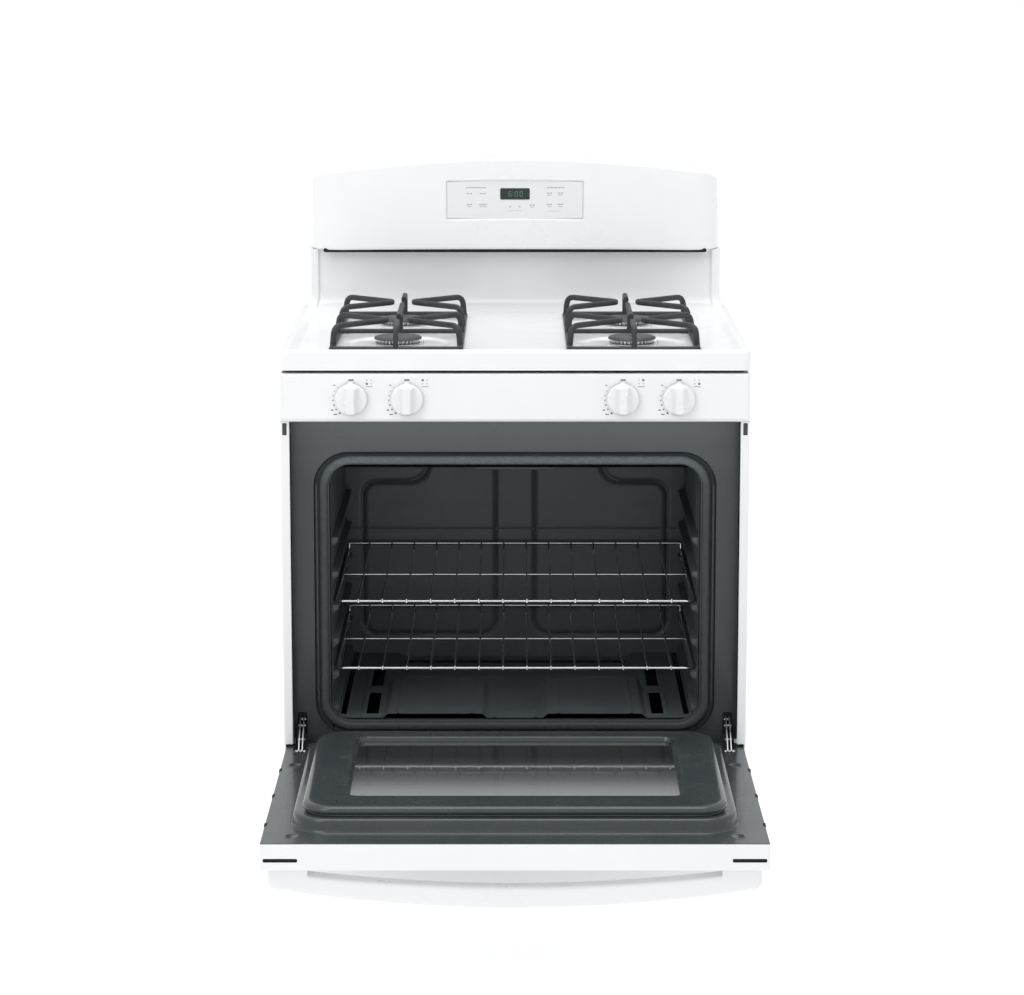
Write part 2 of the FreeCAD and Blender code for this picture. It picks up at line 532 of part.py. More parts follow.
# ---------------------------------------------------------------- storage drawer
faceOuter = box("face_outer", ("-doorHalf", "doorHalf"), ("drawerFrontY", "-311"),
                ("drawerBottom", "drawerTop"))
faceInner = box("face_inner", ("-doorHalf + skin", "doorHalf - skin"), ("drawerFrontY + skin", "-310"),
                ("drawerBottom + skin", "drawerTop - skin"))
pull = box("pull", ("-150", "150"), ("-342", "-318"), ("drawerTop - 5", "drawerTop + 1"))
node(cut("face_cut", faceOuter, [faceInner, pull]), "drawer_front")
trayOuter = box("tray_outer", ("-drawerHalf", "drawerHalf"), ("-311", "drawerRearY"), ("50", "172"))
trayInner = box("tray_inner", ("-drawerHalf + skin", "drawerHalf - skin"),
                ("-311 + skin", "drawerRearY - skin"),
                ("50 + skin", "173"))
runners = [box(side + "_runner", span(sign, "drawerHalf", "drawerHalf + 6"), ("-300", "drawerRearY"),
               ("runnerZ - 4", "runnerZ + 4")) for side, sign in SIDES]
node(cut("tray_cut", fuse("tray_fuse", [trayOuter] + runners), [trayInner]), "drawer_box")
guides = []
for side, sign in SIDES:
    channel = box(side + "_channel", span(sign, "drawerHalf + 1.5", "drawerHalf + 20"), ("-285", "240"),
                  ("runnerZ - 12", "runnerZ + 12"))
    track = box(side + "_track", span(sign, "drawerHalf + 1", "drawerHalf + 7"), ("-290", "245"),
                ("runnerZ - 4.4", "runnerZ + 4.4"))
    stand = box(side + "_stand", span(sign, "drawerHalf + 16", "drawerHalf + 20"), ("-285", "240"),
                ("baseTop", "runnerZ - 12"))
    guides.append(cut(side + "_guide", fuse(side + "_guide_fuse", [channel, stand]), [track]))
node(group("guide_group", guides), "drawer_guides")

# ---------------------------------------------------------------- oven door, lying open
skinOuter = box("door_outer", ("-doorHalf", "doorHalf"), ("doorTipY", "doorHeelY"),
                ("doorUnder", "doorInner - skin"))
skinInner = box("door_hollow", ("-doorHalf + skin", "doorHalf - skin"),
                ("doorTipY + skin", "doorHeelY - skin"),
                ("doorUnder + skin", "doorInner"))
lookHole = box("look_hole", ("-230", "230"), ("-745", "-480"), ("doorUnder - 1", "doorUnder + 5"))
heelNotches = [box(side + "_heel_notch", span(sign, "hingeX - 11", "hingeX + 11"),
                   ("pivotY - 34", "doorHeelY + 1"),
                   ("pivotZ - 12.5", "doorInner + 1")) for side, sign in SIDES]
gripSlots = [box(side + "_vent_slot", span(sign, "321", "372"), ("doorTipY - 1", "doorTipY + 3"),
                 ("doorInner - 28.2", "doorInner - 23.8")) for side, sign in SIDES]
node(cut("door_skin_cut", skinOuter, [skinInner, lookHole] + heelNotches + gripSlots), "door_outer_skin")

linerBase = box("liner_base", ("-doorHalf", "doorHalf"), ("doorTipY", "doorHeelY"),
                ("doorInner - skin", "doorInner"))
lowTier = box("liner_low", ("-lowTierHalf", "lowTierHalf"), ("-807", "-325"),
              ("doorInner - skin", "lowTierTop"))
highTier = box("liner_high", ("-highTierHalf", "highTierHalf"), ("-795", "-337"),
               ("doorInner - skin", "highTierTop"))
linerRoom = box("liner_room", ("-highTierHalf + wall", "highTierHalf - wall"), ("-793.5", "-338.5"),
                ("doorInner - 2", "highTierTop - wall"))
linerWindow = box("liner_window", ("-glassHalf", "glassHalf"), ("glassFarY", "glassNearY"),
                  ("lowTierTop + 5", "highTierTop + 1"))
linerNotches = [box(side + "_liner_notch", span(sign, "hingeX - 11", "hingeX + 11"),
                    ("pivotY - 34", "doorHeelY + 1"),
                    ("doorInner - 2", "doorInner + 1")) for side, sign in SIDES]
node(cut("liner_cut", fuse("liner_fuse", [linerBase, lowTier, highTier]),
         [linerRoom, linerWindow] + linerNotches),
     "door_liner")
node(box("inner_glass", ("-glassHalf - 6", "glassHalf + 6"), ("glassFarY - 6", "glassNearY + 6"),
         ("277.5", "282")),
     "door_inner_glass")
node(box("outer_glass", ("-229.5", "229.5"), ("-744.5", "-480.5"), ("doorUnder + 0.3", "doorUnder + 4.3")),
     "door_outer_glass")

hingeBoxes, hingeArms = [], []
for side, sign in SIDES:
    channel = box(side + "_hinge_outer", span(sign, "hingeX - 10.5", "hingeX + 10.5"),
                  ("pivotY - 33.5", "pivotY + 26.5"),
                  ("pivotZ - 12", "doorInner - 0.2"))
    hollow = box(side + "_hinge_inner", span(sign, "hingeX - 8.5", "hingeX + 8.5"),
                 ("pivotY - 35", "pivotY + 28"),
                 ("pivotZ - 10", "doorInner + 1"))
    eye = rod(side + "_hinge_eye", "x", (f"{sign} * hingeX - 13", "pivotY", "pivotZ"), "pinRadius + 0.05",
              "26")
    hingeBoxes.append(cut(side + "_hinge_box", channel, [hollow, eye]))
    armX = sign * val("hingeX") - 4
    outline = [(-250, 268), (-250, 294), (-270, 294), (-324, 252), (-322, 241), (-312, 240), (-262, 268)]
    arm = polygon([(armX, y, z) for y, z in outline]).extrude(Vector(8, 0, 0))
    pin = rod(side + "_hinge_pin", "x", (f"{sign} * hingeX - 10.5", "pivotY", "pivotZ"), "pinRadius", "21")
    hingeArms.append(fuse(side + "_hinge_arm", [solid(side + "_hinge_plate", arm), pin]))
node(group("hinge_box_group", hingeBoxes), "door_hinge_boxes")
node(group("hinge_arm_group", hingeArms), "door_hinge_arms")


def handleShape():
    """The handle: a bar that bows away from the door between two end blocks."""
    top, half, block = val("doorUnder"), val("handleHalf"), val("handleHalf") - val("handleBlock")
    drop, bow = val("handleDrop"), val("handleBow")
    outer = [Vector(-half, 0, top), Vector(-half, 0, top - drop), Vector(half, 0, top - drop),
             Vector(half, 0, top)]
    inner = [Vector(block, 0, top), Vector(block, 0, top - 12), Vector(-block, 0, top - 12),
             Vector(-block, 0, top)]
    curves = [
        Part.LineSegment(outer[0], outer[1]),
        Part.Arc(outer[1], Vector(0, 0, top - drop - bow), outer[2]),
        Part.LineSegment(outer[2], outer[3]),
        Part.LineSegment(outer[3], inner[0]),
        Part.LineSegment(inner[0], inner[1]),
        Part.Arc(inner[1], Vector(0, 0, top - bow - 1), inner[2]),
        Part.LineSegment(inner[2], inner[3]),
        Part.LineSegment(inner[3], outer[0]),
    ]
    face = Part.Face(Part.Wire([curve.toShape() for curve in curves]))
    face.translate(Vector(0, val("doorTipY") + 15, 0))
    return face.extrude(Vector(0, val("handleDepth"), 0))


node(solid("handle_shape", handleShape()), "door_handle")

doorScrews = []
for side, sign in SIDES:
    for spot, x, y in (("tip", 331, -823), ("mid", 354, -423)):
        doorScrews.append(rod(f"{side}_{spot}_door_screw", "z", (str(sign * x), str(y), "doorInner"), "4.5",
                              "1.8"))
node(group("door_screw_group", doorScrews), "door_screws")

# ---------------------------------------------------------------- oven racks


def rackShape(height):
    """A wire rack: side and cross rails, a raised back rail, and fourteen wires fore and aft."""
    half, front, rear = val("rackHalf"), val("rackFrontY"), val("rackRearY")
    along, across, up = Vector(1, 0, 0), Vector(0, 1, 0), Vector(0, 0, 1)
    wires = [Part.makeCylinder(2.75, 2 * half, Vector(-half, front, height), along),
             Part.makeCylinder(2, 2 * half, Vector(-half, 0, height), along),
             Part.makeCylinder(2.5, 2 * half, Vector(-half, rear, height), along),
             Part.makeCylinder(2.5, 2 * half, Vector(-half, rear, height + 14), along)]
    for side in (-half, half):
        wires.append(Part.makeCylinder(2.5, rear - front, Vector(side, front, height), across))
        wires.append(Part.makeCylinder(2.5, 14, Vector(side, rear, height), up))
        for y, z in ((front, height), (rear, height), (rear, height + 14)):
            wires.append(Part.makeSphere(2.8, Vector(side, y, z)))
    for number in range(14):
        x = (number - 6.5) * 40
        wires.append(Part.makeCylinder(1.6, rear - front + 4, Vector(x, front - 2, height + 3.2), across))
    return wires[0].multiFuse(wires[1:])


for label, height in (("lower_rack", "rackLowZ"), ("upper_rack", "rackHighZ")):
    node(solid(label + "_shape", rackShape(val(height))), label)

# ---------------------------------------------------------------- check and write
doc.recompute()
for thing in doc.Objects:
    if {"Invalid", "Error"} & set(thing.State):
        raise RuntimeError(f"{thing.Name} did not recompute: {thing.State}")
for piece in nodes:
    if piece.Shape.isNull() or not piece.Shape.isValid() or piece.Shape.Volume <= 0:
        raise RuntimeError(f"{piece.Label} has no valid solid")
    piece.Shape.exportStep(f"parts/{piece.Label}.step")
    print(piece.Label, len(piece.Shape.Solids), round(piece.Shape.Volume / 1000, 1), "cm3")
print(len(nodes), "sub-parts")
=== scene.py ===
import math
import bpy
import numpy as np
from mathutils import Matrix, Vector


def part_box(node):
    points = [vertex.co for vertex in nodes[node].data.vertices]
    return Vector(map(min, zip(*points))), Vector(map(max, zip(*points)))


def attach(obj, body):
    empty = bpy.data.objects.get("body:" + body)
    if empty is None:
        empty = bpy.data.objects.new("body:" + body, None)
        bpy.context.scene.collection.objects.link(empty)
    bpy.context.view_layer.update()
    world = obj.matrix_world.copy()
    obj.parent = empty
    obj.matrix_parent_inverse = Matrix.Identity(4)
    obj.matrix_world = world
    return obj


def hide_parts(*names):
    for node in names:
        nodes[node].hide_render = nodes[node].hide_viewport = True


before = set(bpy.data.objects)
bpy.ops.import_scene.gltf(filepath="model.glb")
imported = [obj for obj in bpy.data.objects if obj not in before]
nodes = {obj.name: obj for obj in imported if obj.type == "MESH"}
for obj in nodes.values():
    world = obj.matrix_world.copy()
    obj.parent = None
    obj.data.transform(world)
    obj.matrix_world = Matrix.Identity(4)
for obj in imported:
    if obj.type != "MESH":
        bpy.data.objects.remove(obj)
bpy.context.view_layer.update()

print("frame loaded:", len(nodes), "nodes")

# shared measures, in metres: where the cooktop's front lip stands, and the middle of the cabinet
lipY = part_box("cooktop")[0].y
cabinetY = lipY + 0.320


def at(x, y, z):
    # a point laid out about the middle of the cabinet, in millimetres
    return np.array([x * 0.001, y * 0.001 + cabinetY, z * 0.001])


# node materials
def noiseNode(tree, scale, detail=3.0, rough=0.5, stretch=None):
    coords = tree.nodes.new("ShaderNodeTexCoord")
    noise = tree.nodes.new("ShaderNodeTexNoise")
    noise.inputs["Scale"].default_value = scale
    noise.inputs["Detail"].default_value = detail
    noise.inputs["Roughness"].default_value = rough
    source = coords.outputs["Object"]
    if stretch:
        mapping = tree.nodes.new("ShaderNodeMapping")
        mapping.inputs["Scale"].default_value = stretch
        tree.links.new(source, mapping.inputs["Vector"])
        source = mapping.outputs["Vector"]
    tree.links.new(source, noise.inputs["Vector"])
    return noise.outputs["Fac"]


def ramp(tree, source, stops):
    # a colour ramp with (place, colour) stops
    node = tree.nodes.new("ShaderNodeValToRGB")
    elements = node.color_ramp.elements
    while len(elements) < len(stops):
        elements.new(0.5)
    for element, (place, colour) in zip(elements, stops):
        element.position = place
        element.color = (*colour, 1.0) if len(colour) == 3 else colour
    tree.links.new(source, node.inputs["Fac"])
    return node.outputs["Color"]


def finishMaterial(name, dark, light, rough=(0.2, 0.3), metal=0.0, grain=8.0, bump=0.05, bumpScale=250.0,
                   coat=0.0, specks=None, stretch=None, specular=0.5, glow=None, seeThrough=0.0, ior=1.45):
    # mottled colour between two tones, roughness that varies with it, fine bump, and optional specks
    made = bpy.data.materials.new(name)
    made.use_nodes = True
    tree = made.node_tree
    shader = tree.nodes["Principled BSDF"]
    shader.inputs["Metallic"].default_value = metal
    shader.inputs["Coat Weight"].default_value = coat
    shader.inputs["Coat Roughness"].default_value = 0.06
    shader.inputs["Specular IOR Level"].default_value = specular
    shader.inputs["Transmission Weight"].default_value = seeThrough
    shader.inputs["IOR"].default_value = ior
    broad = noiseNode(tree, grain, 4.0, 0.6, stretch)
    colour = ramp(tree, broad, [(0.3, dark), (0.7, light)])
    if specks:
        # specks: scale, threshold, and the colour of the flecks
        fine = noiseNode(tree, specks[0], 1.0, 0.4)
        mask = ramp(tree, fine, [(specks[1], (0, 0, 0)), (specks[1] + 0.05, (1, 1, 1))])
        mix = tree.nodes.new("ShaderNodeMix")
        mix.data_type = "RGBA"
        tree.links.new(mask, mix.inputs["Factor"])
        tree.links.new(colour, mix.inputs["A"])
        mix.inputs["B"].default_value = (*specks[2], 1.0)
        colour = mix.outputs["Result"]
    tree.links.new(colour, shader.inputs["Base Color"])
    tone = ramp(tree, broad, [(0.3, (rough[0],) * 3), (0.7, (rough[1],) * 3)])
    tree.links.new(tone, shader.inputs["Roughness"])
    if bump:
        bumpNode = tree.nodes.new("ShaderNodeBump")
        bumpNode.inputs["Strength"].default_value = bump
        bumpNode.inputs["Distance"].default_value = 0.0006
        tree.links.new(noiseNode(tree, bumpScale, 2.0, 0.5, stretch), bumpNode.inputs["Height"])
        tree.links.new(bumpNode.outputs["Normal"], shader.inputs["Normal"])
    if glow:
        shader.inputs["Emission Color"].default_value = (*glow[0], 1.0)
        shader.inputs["Emission Strength"].default_value = glow[1]
    return made


whiteEnamel = finishMaterial("whiteEnamel", (0.795, 0.805, 0.82), (0.82, 0.83, 0.84), (0.20, 0.26), coat=0.3,
                             grain=5.0, bump=0.01, bumpScale=90.0)
whiteMoulding = finishMaterial("whiteMoulding", (0.785, 0.795, 0.81), (0.81, 0.82, 0.83), (0.26, 0.32),
                               coat=0.1, grain=9.0, bump=0.01, bumpScale=400.0)
keyOverlay = finishMaterial("keyOverlay", (0.73, 0.74, 0.757), (0.755, 0.765, 0.782), (0.35, 0.45),
                            grain=30.0, bump=0.05, bumpScale=900.0)
frameEnamel = finishMaterial("frameEnamel", (0.075, 0.091, 0.100), (0.094, 0.110, 0.120), (0.26, 0.38),
                             coat=0.2, grain=12.0, bump=0.015, bumpScale=160.0,
                             specks=(1500.0, 0.68, (0.15, 0.16, 0.165)))
ovenEnamel = finishMaterial("ovenEnamel", (0.068, 0.081, 0.088), (0.089, 0.104, 0.112), (0.38, 0.50),
                            coat=0.08, grain=10.0, bump=0.07, bumpScale=140.0,
                            specks=(1500.0, 0.70, (0.12, 0.13, 0.135)))
linerEnamel = finishMaterial("linerEnamel", (0.035, 0.044, 0.048), (0.046, 0.055, 0.059), (0.22, 0.30),
                             coat=0.22, grain=9.0, bump=0.012, bumpScale=120.0,
                             specks=(1400.0, 0.69, (0.15, 0.16, 0.17)))
castIron = finishMaterial("castIron", (0.021, 0.027, 0.027), (0.038, 0.045, 0.045), (0.42, 0.58), grain=60.0,
                          bump=0.35, bumpScale=900.0)
capEnamel = finishMaterial("capEnamel", (0.056, 0.064, 0.063), (0.078, 0.086, 0.084), (0.40, 0.52),
                           grain=50.0, bump=0.2, bumpScale=1000.0)
castAluminium = finishMaterial("castAluminium", (0.62, 0.63, 0.64), (0.76, 0.77, 0.78), (0.30, 0.42),
                               metal=1.0, grain=80.0, bump=0.15, bumpScale=1400.0)
chromeWire = finishMaterial("chromeWire", (0.62, 0.63, 0.64), (0.74, 0.75, 0.76), (0.12, 0.22), metal=1.0,
                            grain=40.0, bump=0.04, bumpScale=900.0)
zincSheet = finishMaterial("zincSheet", (0.47, 0.48, 0.49), (0.55, 0.56, 0.57), (0.34, 0.48), metal=1.0,
                           grain=55.0, bump=0.06, bumpScale=300.0)
steelScrew = finishMaterial("steelScrew", (0.30, 0.31, 0.32), (0.45, 0.46, 0.47), (0.25, 0.4), metal=1.0,
                            grain=90.0)
# painted shade: a near-black finish for pieces set in gaps, slots, vents and below the oven floor, standing
# for the shade there
paintedShadeBlack = finishMaterial("paintedShadeBlack", (0.004, 0.004, 0.005), (0.008, 0.008, 0.009), (0.6, 0.8), grain=20.0)
darkTrim = finishMaterial("darkTrim", (0.035, 0.037, 0.04), (0.05, 0.052, 0.055), (0.4, 0.55), grain=30.0)
windowGlass = finishMaterial("windowGlass", (0.42, 0.43, 0.445), (0.44, 0.45, 0.465), (0.02, 0.04), coat=1.0,
                             grain=4.0, bump=0.0, specular=0.9)
ovenGlass = finishMaterial("ovenGlass", (0.012, 0.014, 0.015), (0.018, 0.020, 0.021), (0.02, 0.05), coat=1.0,
                           grain=4.0, bump=0.0, specular=0.9)
lampGlass = finishMaterial("lampGlass", (0.85, 0.86, 0.84), (0.95, 0.95, 0.93), (0.04, 0.10), seeThrough=0.9,
                           grain=40.0, bump=0.1, bumpScale=300.0)
braid = finishMaterial("braid", (0.076, 0.093, 0.101), (0.133, 0.153, 0.163), (0.55, 0.7), grain=220.0,
                       bump=0.5, bumpScale=700.0)
mineralWool = finishMaterial("mineralWool", (0.46, 0.40, 0.22), (0.62, 0.56, 0.36), (0.85, 0.95), grain=90.0,
                             bump=0.8, bumpScale=500.0)
brassFitting = finishMaterial("brassFitting", (0.58, 0.42, 0.17), (0.70, 0.54, 0.26), (0.25, 0.38), metal=1.0,
                              grain=60.0)
ceramicBody = finishMaterial("ceramicBody", (0.78, 0.76, 0.72), (0.86, 0.85, 0.82), (0.4, 0.5), grain=60.0)
softRubber = finishMaterial("softRubber", (0.016, 0.016, 0.017), (0.028, 0.028, 0.03), (0.6, 0.75),
                            grain=70.0, bump=0.2, bumpScale=900.0)
circuitBoard = finishMaterial("circuitBoard", (0.012, 0.09, 0.035), (0.02, 0.13, 0.05), (0.35, 0.5),
                              grain=200.0)
greyPrint = finishMaterial("greyPrint", (0.13, 0.135, 0.14), (0.17, 0.175, 0.18), (0.4, 0.5), grain=60.0)
redPrint = finishMaterial("redPrint", (0.30, 0.035, 0.04), (0.36, 0.05, 0.05), (0.4, 0.5), grain=60.0)
displayBlack = finishMaterial("displayBlack", (0.010, 0.018, 0.016), (0.014, 0.024, 0.021), (0.25, 0.3),
                              grain=20.0)
digitGlow = finishMaterial("digitGlow", (0.06, 0.15, 0.09), (0.08, 0.18, 0.12), (0.4, 0.5), grain=40.0,
                           glow=((0.2, 0.5, 0.3), 0.12))
print("materials made")


# meshes
def addPiece(name, points, faces, material, body, replaces=(), slot=None, angle=35.0):
    # points as an (n, 3) array, faces as (m, 3) or (m, 4); edges sharper than the angle stay crisp
    mesh = bpy.data.meshes.new(name)
    points = np.asarray(points, np.float32).reshape(-1, 3)
    faces = np.asarray(faces, np.int32)
    mesh.vertices.add(len(points))
    mesh.vertices.foreach_set("co", points.ravel())
    mesh.loops.add(faces.size)
    mesh.loops.foreach_set("vertex_index", faces.ravel())
    mesh.polygons.add(len(faces))
    mesh.polygons.foreach_set("loop_start", np.arange(0, faces.size, faces.shape[1], dtype=np.int32))
    mesh.polygons.foreach_set("loop_total", np.full(len(faces), faces.shape[1], np.int32))
    mesh.update(calc_edges=True)
    mesh.validate()
    return place(name, mesh, material, body, replaces, slot, angle)


def place(name, mesh, material, body, replaces=(), slot=None, angle=35.0):
    mesh.polygons.foreach_set("use_smooth", np.ones(len(mesh.polygons), bool))
    mesh.set_sharp_from_angle(angle=math.radians(angle))
    mesh.materials.clear()
    mesh.materials.append(material)
    piece = bpy.data.objects.new(name, mesh)
    bpy.context.scene.collection.objects.link(piece)
    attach(piece, body)
    if replaces:
        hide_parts(*replaces)
    return piece


def joinParts(parts):
    # several (points, faces) pairs as one, with the indices moved on
    points, faces, first = [], [], 0
    for somePoints, someFaces in parts:
        somePoints = np.asarray(somePoints, float).reshape(-1, 3)
        points.append(somePoints)
        faces.append(np.asarray(someFaces, int) + first)
        first += len(somePoints)
    return np.concatenate(points), np.concatenate(faces)


def gridFaces(rows, columns, closeColumns=False, flip=False):
    # quads between neighbouring rows and columns of a grid
    i, j = np.meshgrid(np.arange(rows - 1), np.arange(columns if closeColumns else columns - 1),
                       indexing="ij")
    k = (j + 1) % columns
    quads = np.stack([i * columns + j, i * columns + k, (i + 1) * columns + k, (i + 1) * columns + j], -1)
    quads = quads.reshape(-1, 4)
    return quads[:, ::-1] if flip else quads


def gridPart(grid, closeColumns=False, flip=False):
    return grid.reshape(-1, 3), gridFaces(grid.shape[0], grid.shape[1], closeColumns, flip)


def signedSize(points, faces):
    # six times the enclosed volume, positive when the faces point outwards
    corners = points[faces]
    middle = points.mean(0)
    a, b, c = (corners[:, k] - middle for k in range(3))
    total = np.einsum("ij,ij->i", a, np.cross(b, c)).sum()
    if faces.shape[1] == 4:
        d = corners[:, 3] - middle
        total += np.einsum("ij,ij->i", a, np.cross(c, d)).sum()
    return total


def outward(part):
    points, faces = part
    return (points, faces[:, ::-1]) if signedSize(points, faces) < 0 else part


def splitQuads(part):
    # each quad as two triangles
    points, faces = part
    return points, np.concatenate([faces[:, [0, 1, 2]], faces[:, [0, 2, 3]]])


def facing(part, direction):
    # turns an open sheet so that most of it looks along a direction
    points, faces = part
    a, b, c = (points[faces[:, k]] for k in range(3))
    total = np.cross(b - a, c - a).sum(0)
    return (points, faces[:, ::-1]) if total @ np.asarray(direction, float) < 0 else part


def capFan(loop, flip=False):
    # a closed loop filled from its middle, as quads whose last two corners meet there
    count = len(loop)
    points = np.concatenate([loop, loop.mean(0, keepdims=True)])
    i = np.arange(0, count, 2)
    quads = np.stack([i, (i + 1) % count, (i + 2) % count, np.full_like(i, count)], -1)
    return points, quads[:, ::-1] if flip else quads


def loft(loops, capStart=False, capEnd=False, flip=False):
    # a skin through closed loops of the same count, with its ends filled where asked
    grid = np.stack(loops)
    parts = [gridPart(grid, True, flip)]
    if capStart:
        parts.append(capFan(grid[0], not flip))
    if capEnd:
        parts.append(capFan(grid[-1], flip))
    return joinParts(parts)


def thicken(front, depth, direction):
    # gives an open sheet a back face, moved along a direction and turned round, so that it shows from behind
    points, faces = front
    return joinParts([front, (points + np.asarray(direction, float) * depth, faces[:, ::-1])])


def roundRect(halfX, halfY, radius, corner=8, edge=6):
    # a rounded rectangle in plan: corner arcs joined by evenly divided straight sides
    radius = min(radius, halfX, halfY)
    loops = []
    for turn, (sx, sy) in enumerate(((1, 1), (-1, 1), (-1, -1), (1, -1))):
        angles = np.radians(90.0 * turn + np.linspace(0, 90, corner))
        cx, cy = sx * (halfX - radius), sy * (halfY - radius)
        loops.append(np.stack([cx + radius * np.cos(angles), cy + radius * np.sin(angles)], -1))
    sides = []
    for loop, after in zip(loops, loops[1:] + loops[:1]):
        step = np.linspace(0, 1, edge + 1)[1:-1, None]
        sides += [loop, loop[-1] + (after[0] - loop[-1]) * step]
    return np.concatenate(sides)


def ringXZ(box, radius, y, corner=8, edge=6):
    # a rounded rectangle standing in the XZ plane; box is x low, x high, z low, z high in millimetres
    x0, x1, z0, z1 = box
    flat = roundRect((x1 - x0) / 2, (z1 - z0) / 2, radius, corner, edge)
    ys = np.broadcast_to(y, len(flat)).astype(float)
    out = np.stack([flat[:, 0] + (x0 + x1) / 2, ys, flat[:, 1] + (z0 + z1) / 2], -1)
    return out * 0.001 + np.array([0, cabinetY, 0])


def ringXY(box, radius, z, corner=8, edge=6):
    # a rounded rectangle lying flat; box is x low, x high, y low, y high in millimetres
    x0, x1, y0, y1 = box
    flat = roundRect((x1 - x0) / 2, (y1 - y0) / 2, radius, corner, edge)
    out = np.stack([flat[:, 0] + (x0 + x1) / 2, flat[:, 1] + (y0 + y1) / 2, np.full(len(flat), float(z))], -1)
    return out * 0.001 + np.array([0, cabinetY, 0])


def inset(box, amount):
    return (box[0] + amount, box[1] - amount, box[2] + amount, box[3] - amount)


def circleLoop(x, y, radius, count=40):
    angles = np.linspace(0, 2 * math.pi, count, endpoint=False)
    return np.stack([x + radius * np.cos(angles), y + radius * np.sin(angles)], -1)


def rectLoop(x0, x1, y0, y1, radius=0.0, corner=6):
    flat = roundRect((x1 - x0) / 2, (y1 - y0) / 2, max(radius, 0.01), corner, 1)
    return flat + np.array([(x0 + x1) / 2, (y0 + y1) / 2])


planes = {
    # where a flat outline's own x, y and thickness point
    "front": Matrix(((1, 0, 0), (0, 0, -1), (0, 1, 0))),
    "top": Matrix.Identity(3),
    "right": Matrix(((0, 0, 1), (1, 0, 0), (0, 1, 0))),
}


def plate(loops, thickness, edge, plane, origin):
    # a flat plate with holes and softened edges, from outlines in millimetres; origin is its front face
    curve = bpy.data.curves.new("outline", "CURVE")
    curve.dimensions = "2D"
    curve.fill_mode = "BOTH"
    curve.extrude = max(thickness / 2 - edge, 0.0) * 0.001
    curve.bevel_depth = edge * 0.001
    curve.bevel_resolution = 2
    curve.offset = -edge * 0.001
    for loop in loops:
        spline = curve.splines.new("POLY")
        spline.points.add(len(loop) - 1)
        flat = np.zeros((len(loop), 4))
        flat[:, :2] = np.asarray(loop) * 0.001
        flat[:, 3] = 1
        spline.points.foreach_set("co", flat.ravel())
        spline.use_cyclic_u = True
    holder = bpy.data.objects.new("outline", curve)
    mesh = bpy.data.meshes.new_from_object(holder)
    bpy.data.objects.remove(holder)
    bpy.data.curves.remove(curve)
    turn = planes[plane].to_4x4()
    sink = Matrix.Translation((0, 0, -thickness * 0.0005))
    mesh.transform(Matrix.Translation(Vector(origin)) @ turn @ sink)
    return mesh


def meshPart(mesh):
    # a mesh's points, with its faces cut into triangles
    points = np.empty(len(mesh.vertices) * 3)
    mesh.vertices.foreach_get("co", points)
    mesh.calc_loop_triangles()
    triangles = np.empty(len(mesh.loop_triangles) * 3, np.int32)
    mesh.loop_triangles.foreach_get("vertices", triangles)
    return points.reshape(-1, 3), triangles.reshape(-1, 3)


def roundedPath(points, radius, steps=6):
    # a path whose corners become arcs of about one radius
    points = [np.asarray(p, float) for p in points]
    out = [points[0]]
    for before, corner, after in zip(points, points[1:], points[2:]):
        inward, outward = before - corner, after - corner
        lengths = np.linalg.norm(inward), np.linalg.norm(outward)
        inward, outward = inward / lengths[0], outward / lengths[1]
        half = math.acos(float(np.clip(inward @ outward, -1, 1))) / 2
        if half > math.pi / 2 - 0.02:
            out.append(corner)
            continue
        back = min(radius / max(math.tan(half), 1e-3), lengths[0] * 0.49, lengths[1] * 0.49)
        t = np.linspace(0, 1, steps)[:, None]
        start, end = corner + inward * back, corner + outward * back
        out.extend((1 - t) ** 2 * start + 2 * t * (1 - t) * corner + t**2 * end)
    out.append(points[-1])
    return np.array(out)


def sweep(path, section, up=(0, 0, 1), closed=False, capped=True):
    # a section (n, 2) carried along a path, its first axis sideways and its second axis upwards
    path = np.asarray(path, float)
    if closed:
        tangent = np.roll(path, -1, 0) - np.roll(path, 1, 0)
    else:
        tangent = np.gradient(path, axis=0)
    tangent /= np.linalg.norm(tangent, axis=1, keepdims=True)
    reference = np.asarray(up, float)
    side = np.cross(tangent, reference)
    weak = np.linalg.norm(side, axis=1) < 0.2
    good = np.where(~weak)[0]
    if len(good) and weak.any():
        nearest = good[np.abs(np.arange(len(path))[:, None] - good[None]).argmin(1)]
        side = side[nearest]
        side -= tangent * (side * tangent).sum(1, keepdims=True)
    side /= np.maximum(np.linalg.norm(side, axis=1, keepdims=True), 1e-9)
    lift = np.cross(side, tangent)
    grid = path[:, None] + side[:, None] * section[None, :, :1] + lift[:, None] * section[None, :, 1:]
    if closed:
        grid = np.concatenate([grid, grid[:1]])
    parts = [gridPart(grid, True)]
    if capped and not closed:
        parts += [capFan(grid[0], True), capFan(grid[-1], False)]
    return outward(joinParts(parts))


def roundSection(radius, count=12):
    return circleLoop(0, 0, radius, count)


def barSection(width, height, radius):
    return roundRect(width / 2, height / 2, radius, 3, 2)


def revolve(profile, centre, axis="z", count=64):
    # a profile of (radius, height) pairs turned about an axis through a centre
    profile = np.asarray(profile, float) * 0.001
    angles = np.linspace(0, 2 * math.pi, count, endpoint=False)
    ring = profile[:, None, 0:1] * np.stack([np.cos(angles), np.sin(angles)], -1)[None]
    height = np.broadcast_to(profile[:, None, 1:2], ring[..., :1].shape)
    if axis == "z":
        grid = np.concatenate([ring, height], -1)
    else:
        grid = np.concatenate([ring[..., :1], -height, ring[..., 1:]], -1)
    return outward(gridPart(grid + np.asarray(centre), True))


def blendStep(low, high, value):
    # 0 below low, 1 above high, and a smooth ease between
    t = np.clip((value - low) / (high - low), 0, 1)
    return t * t * (3 - 2 * t)


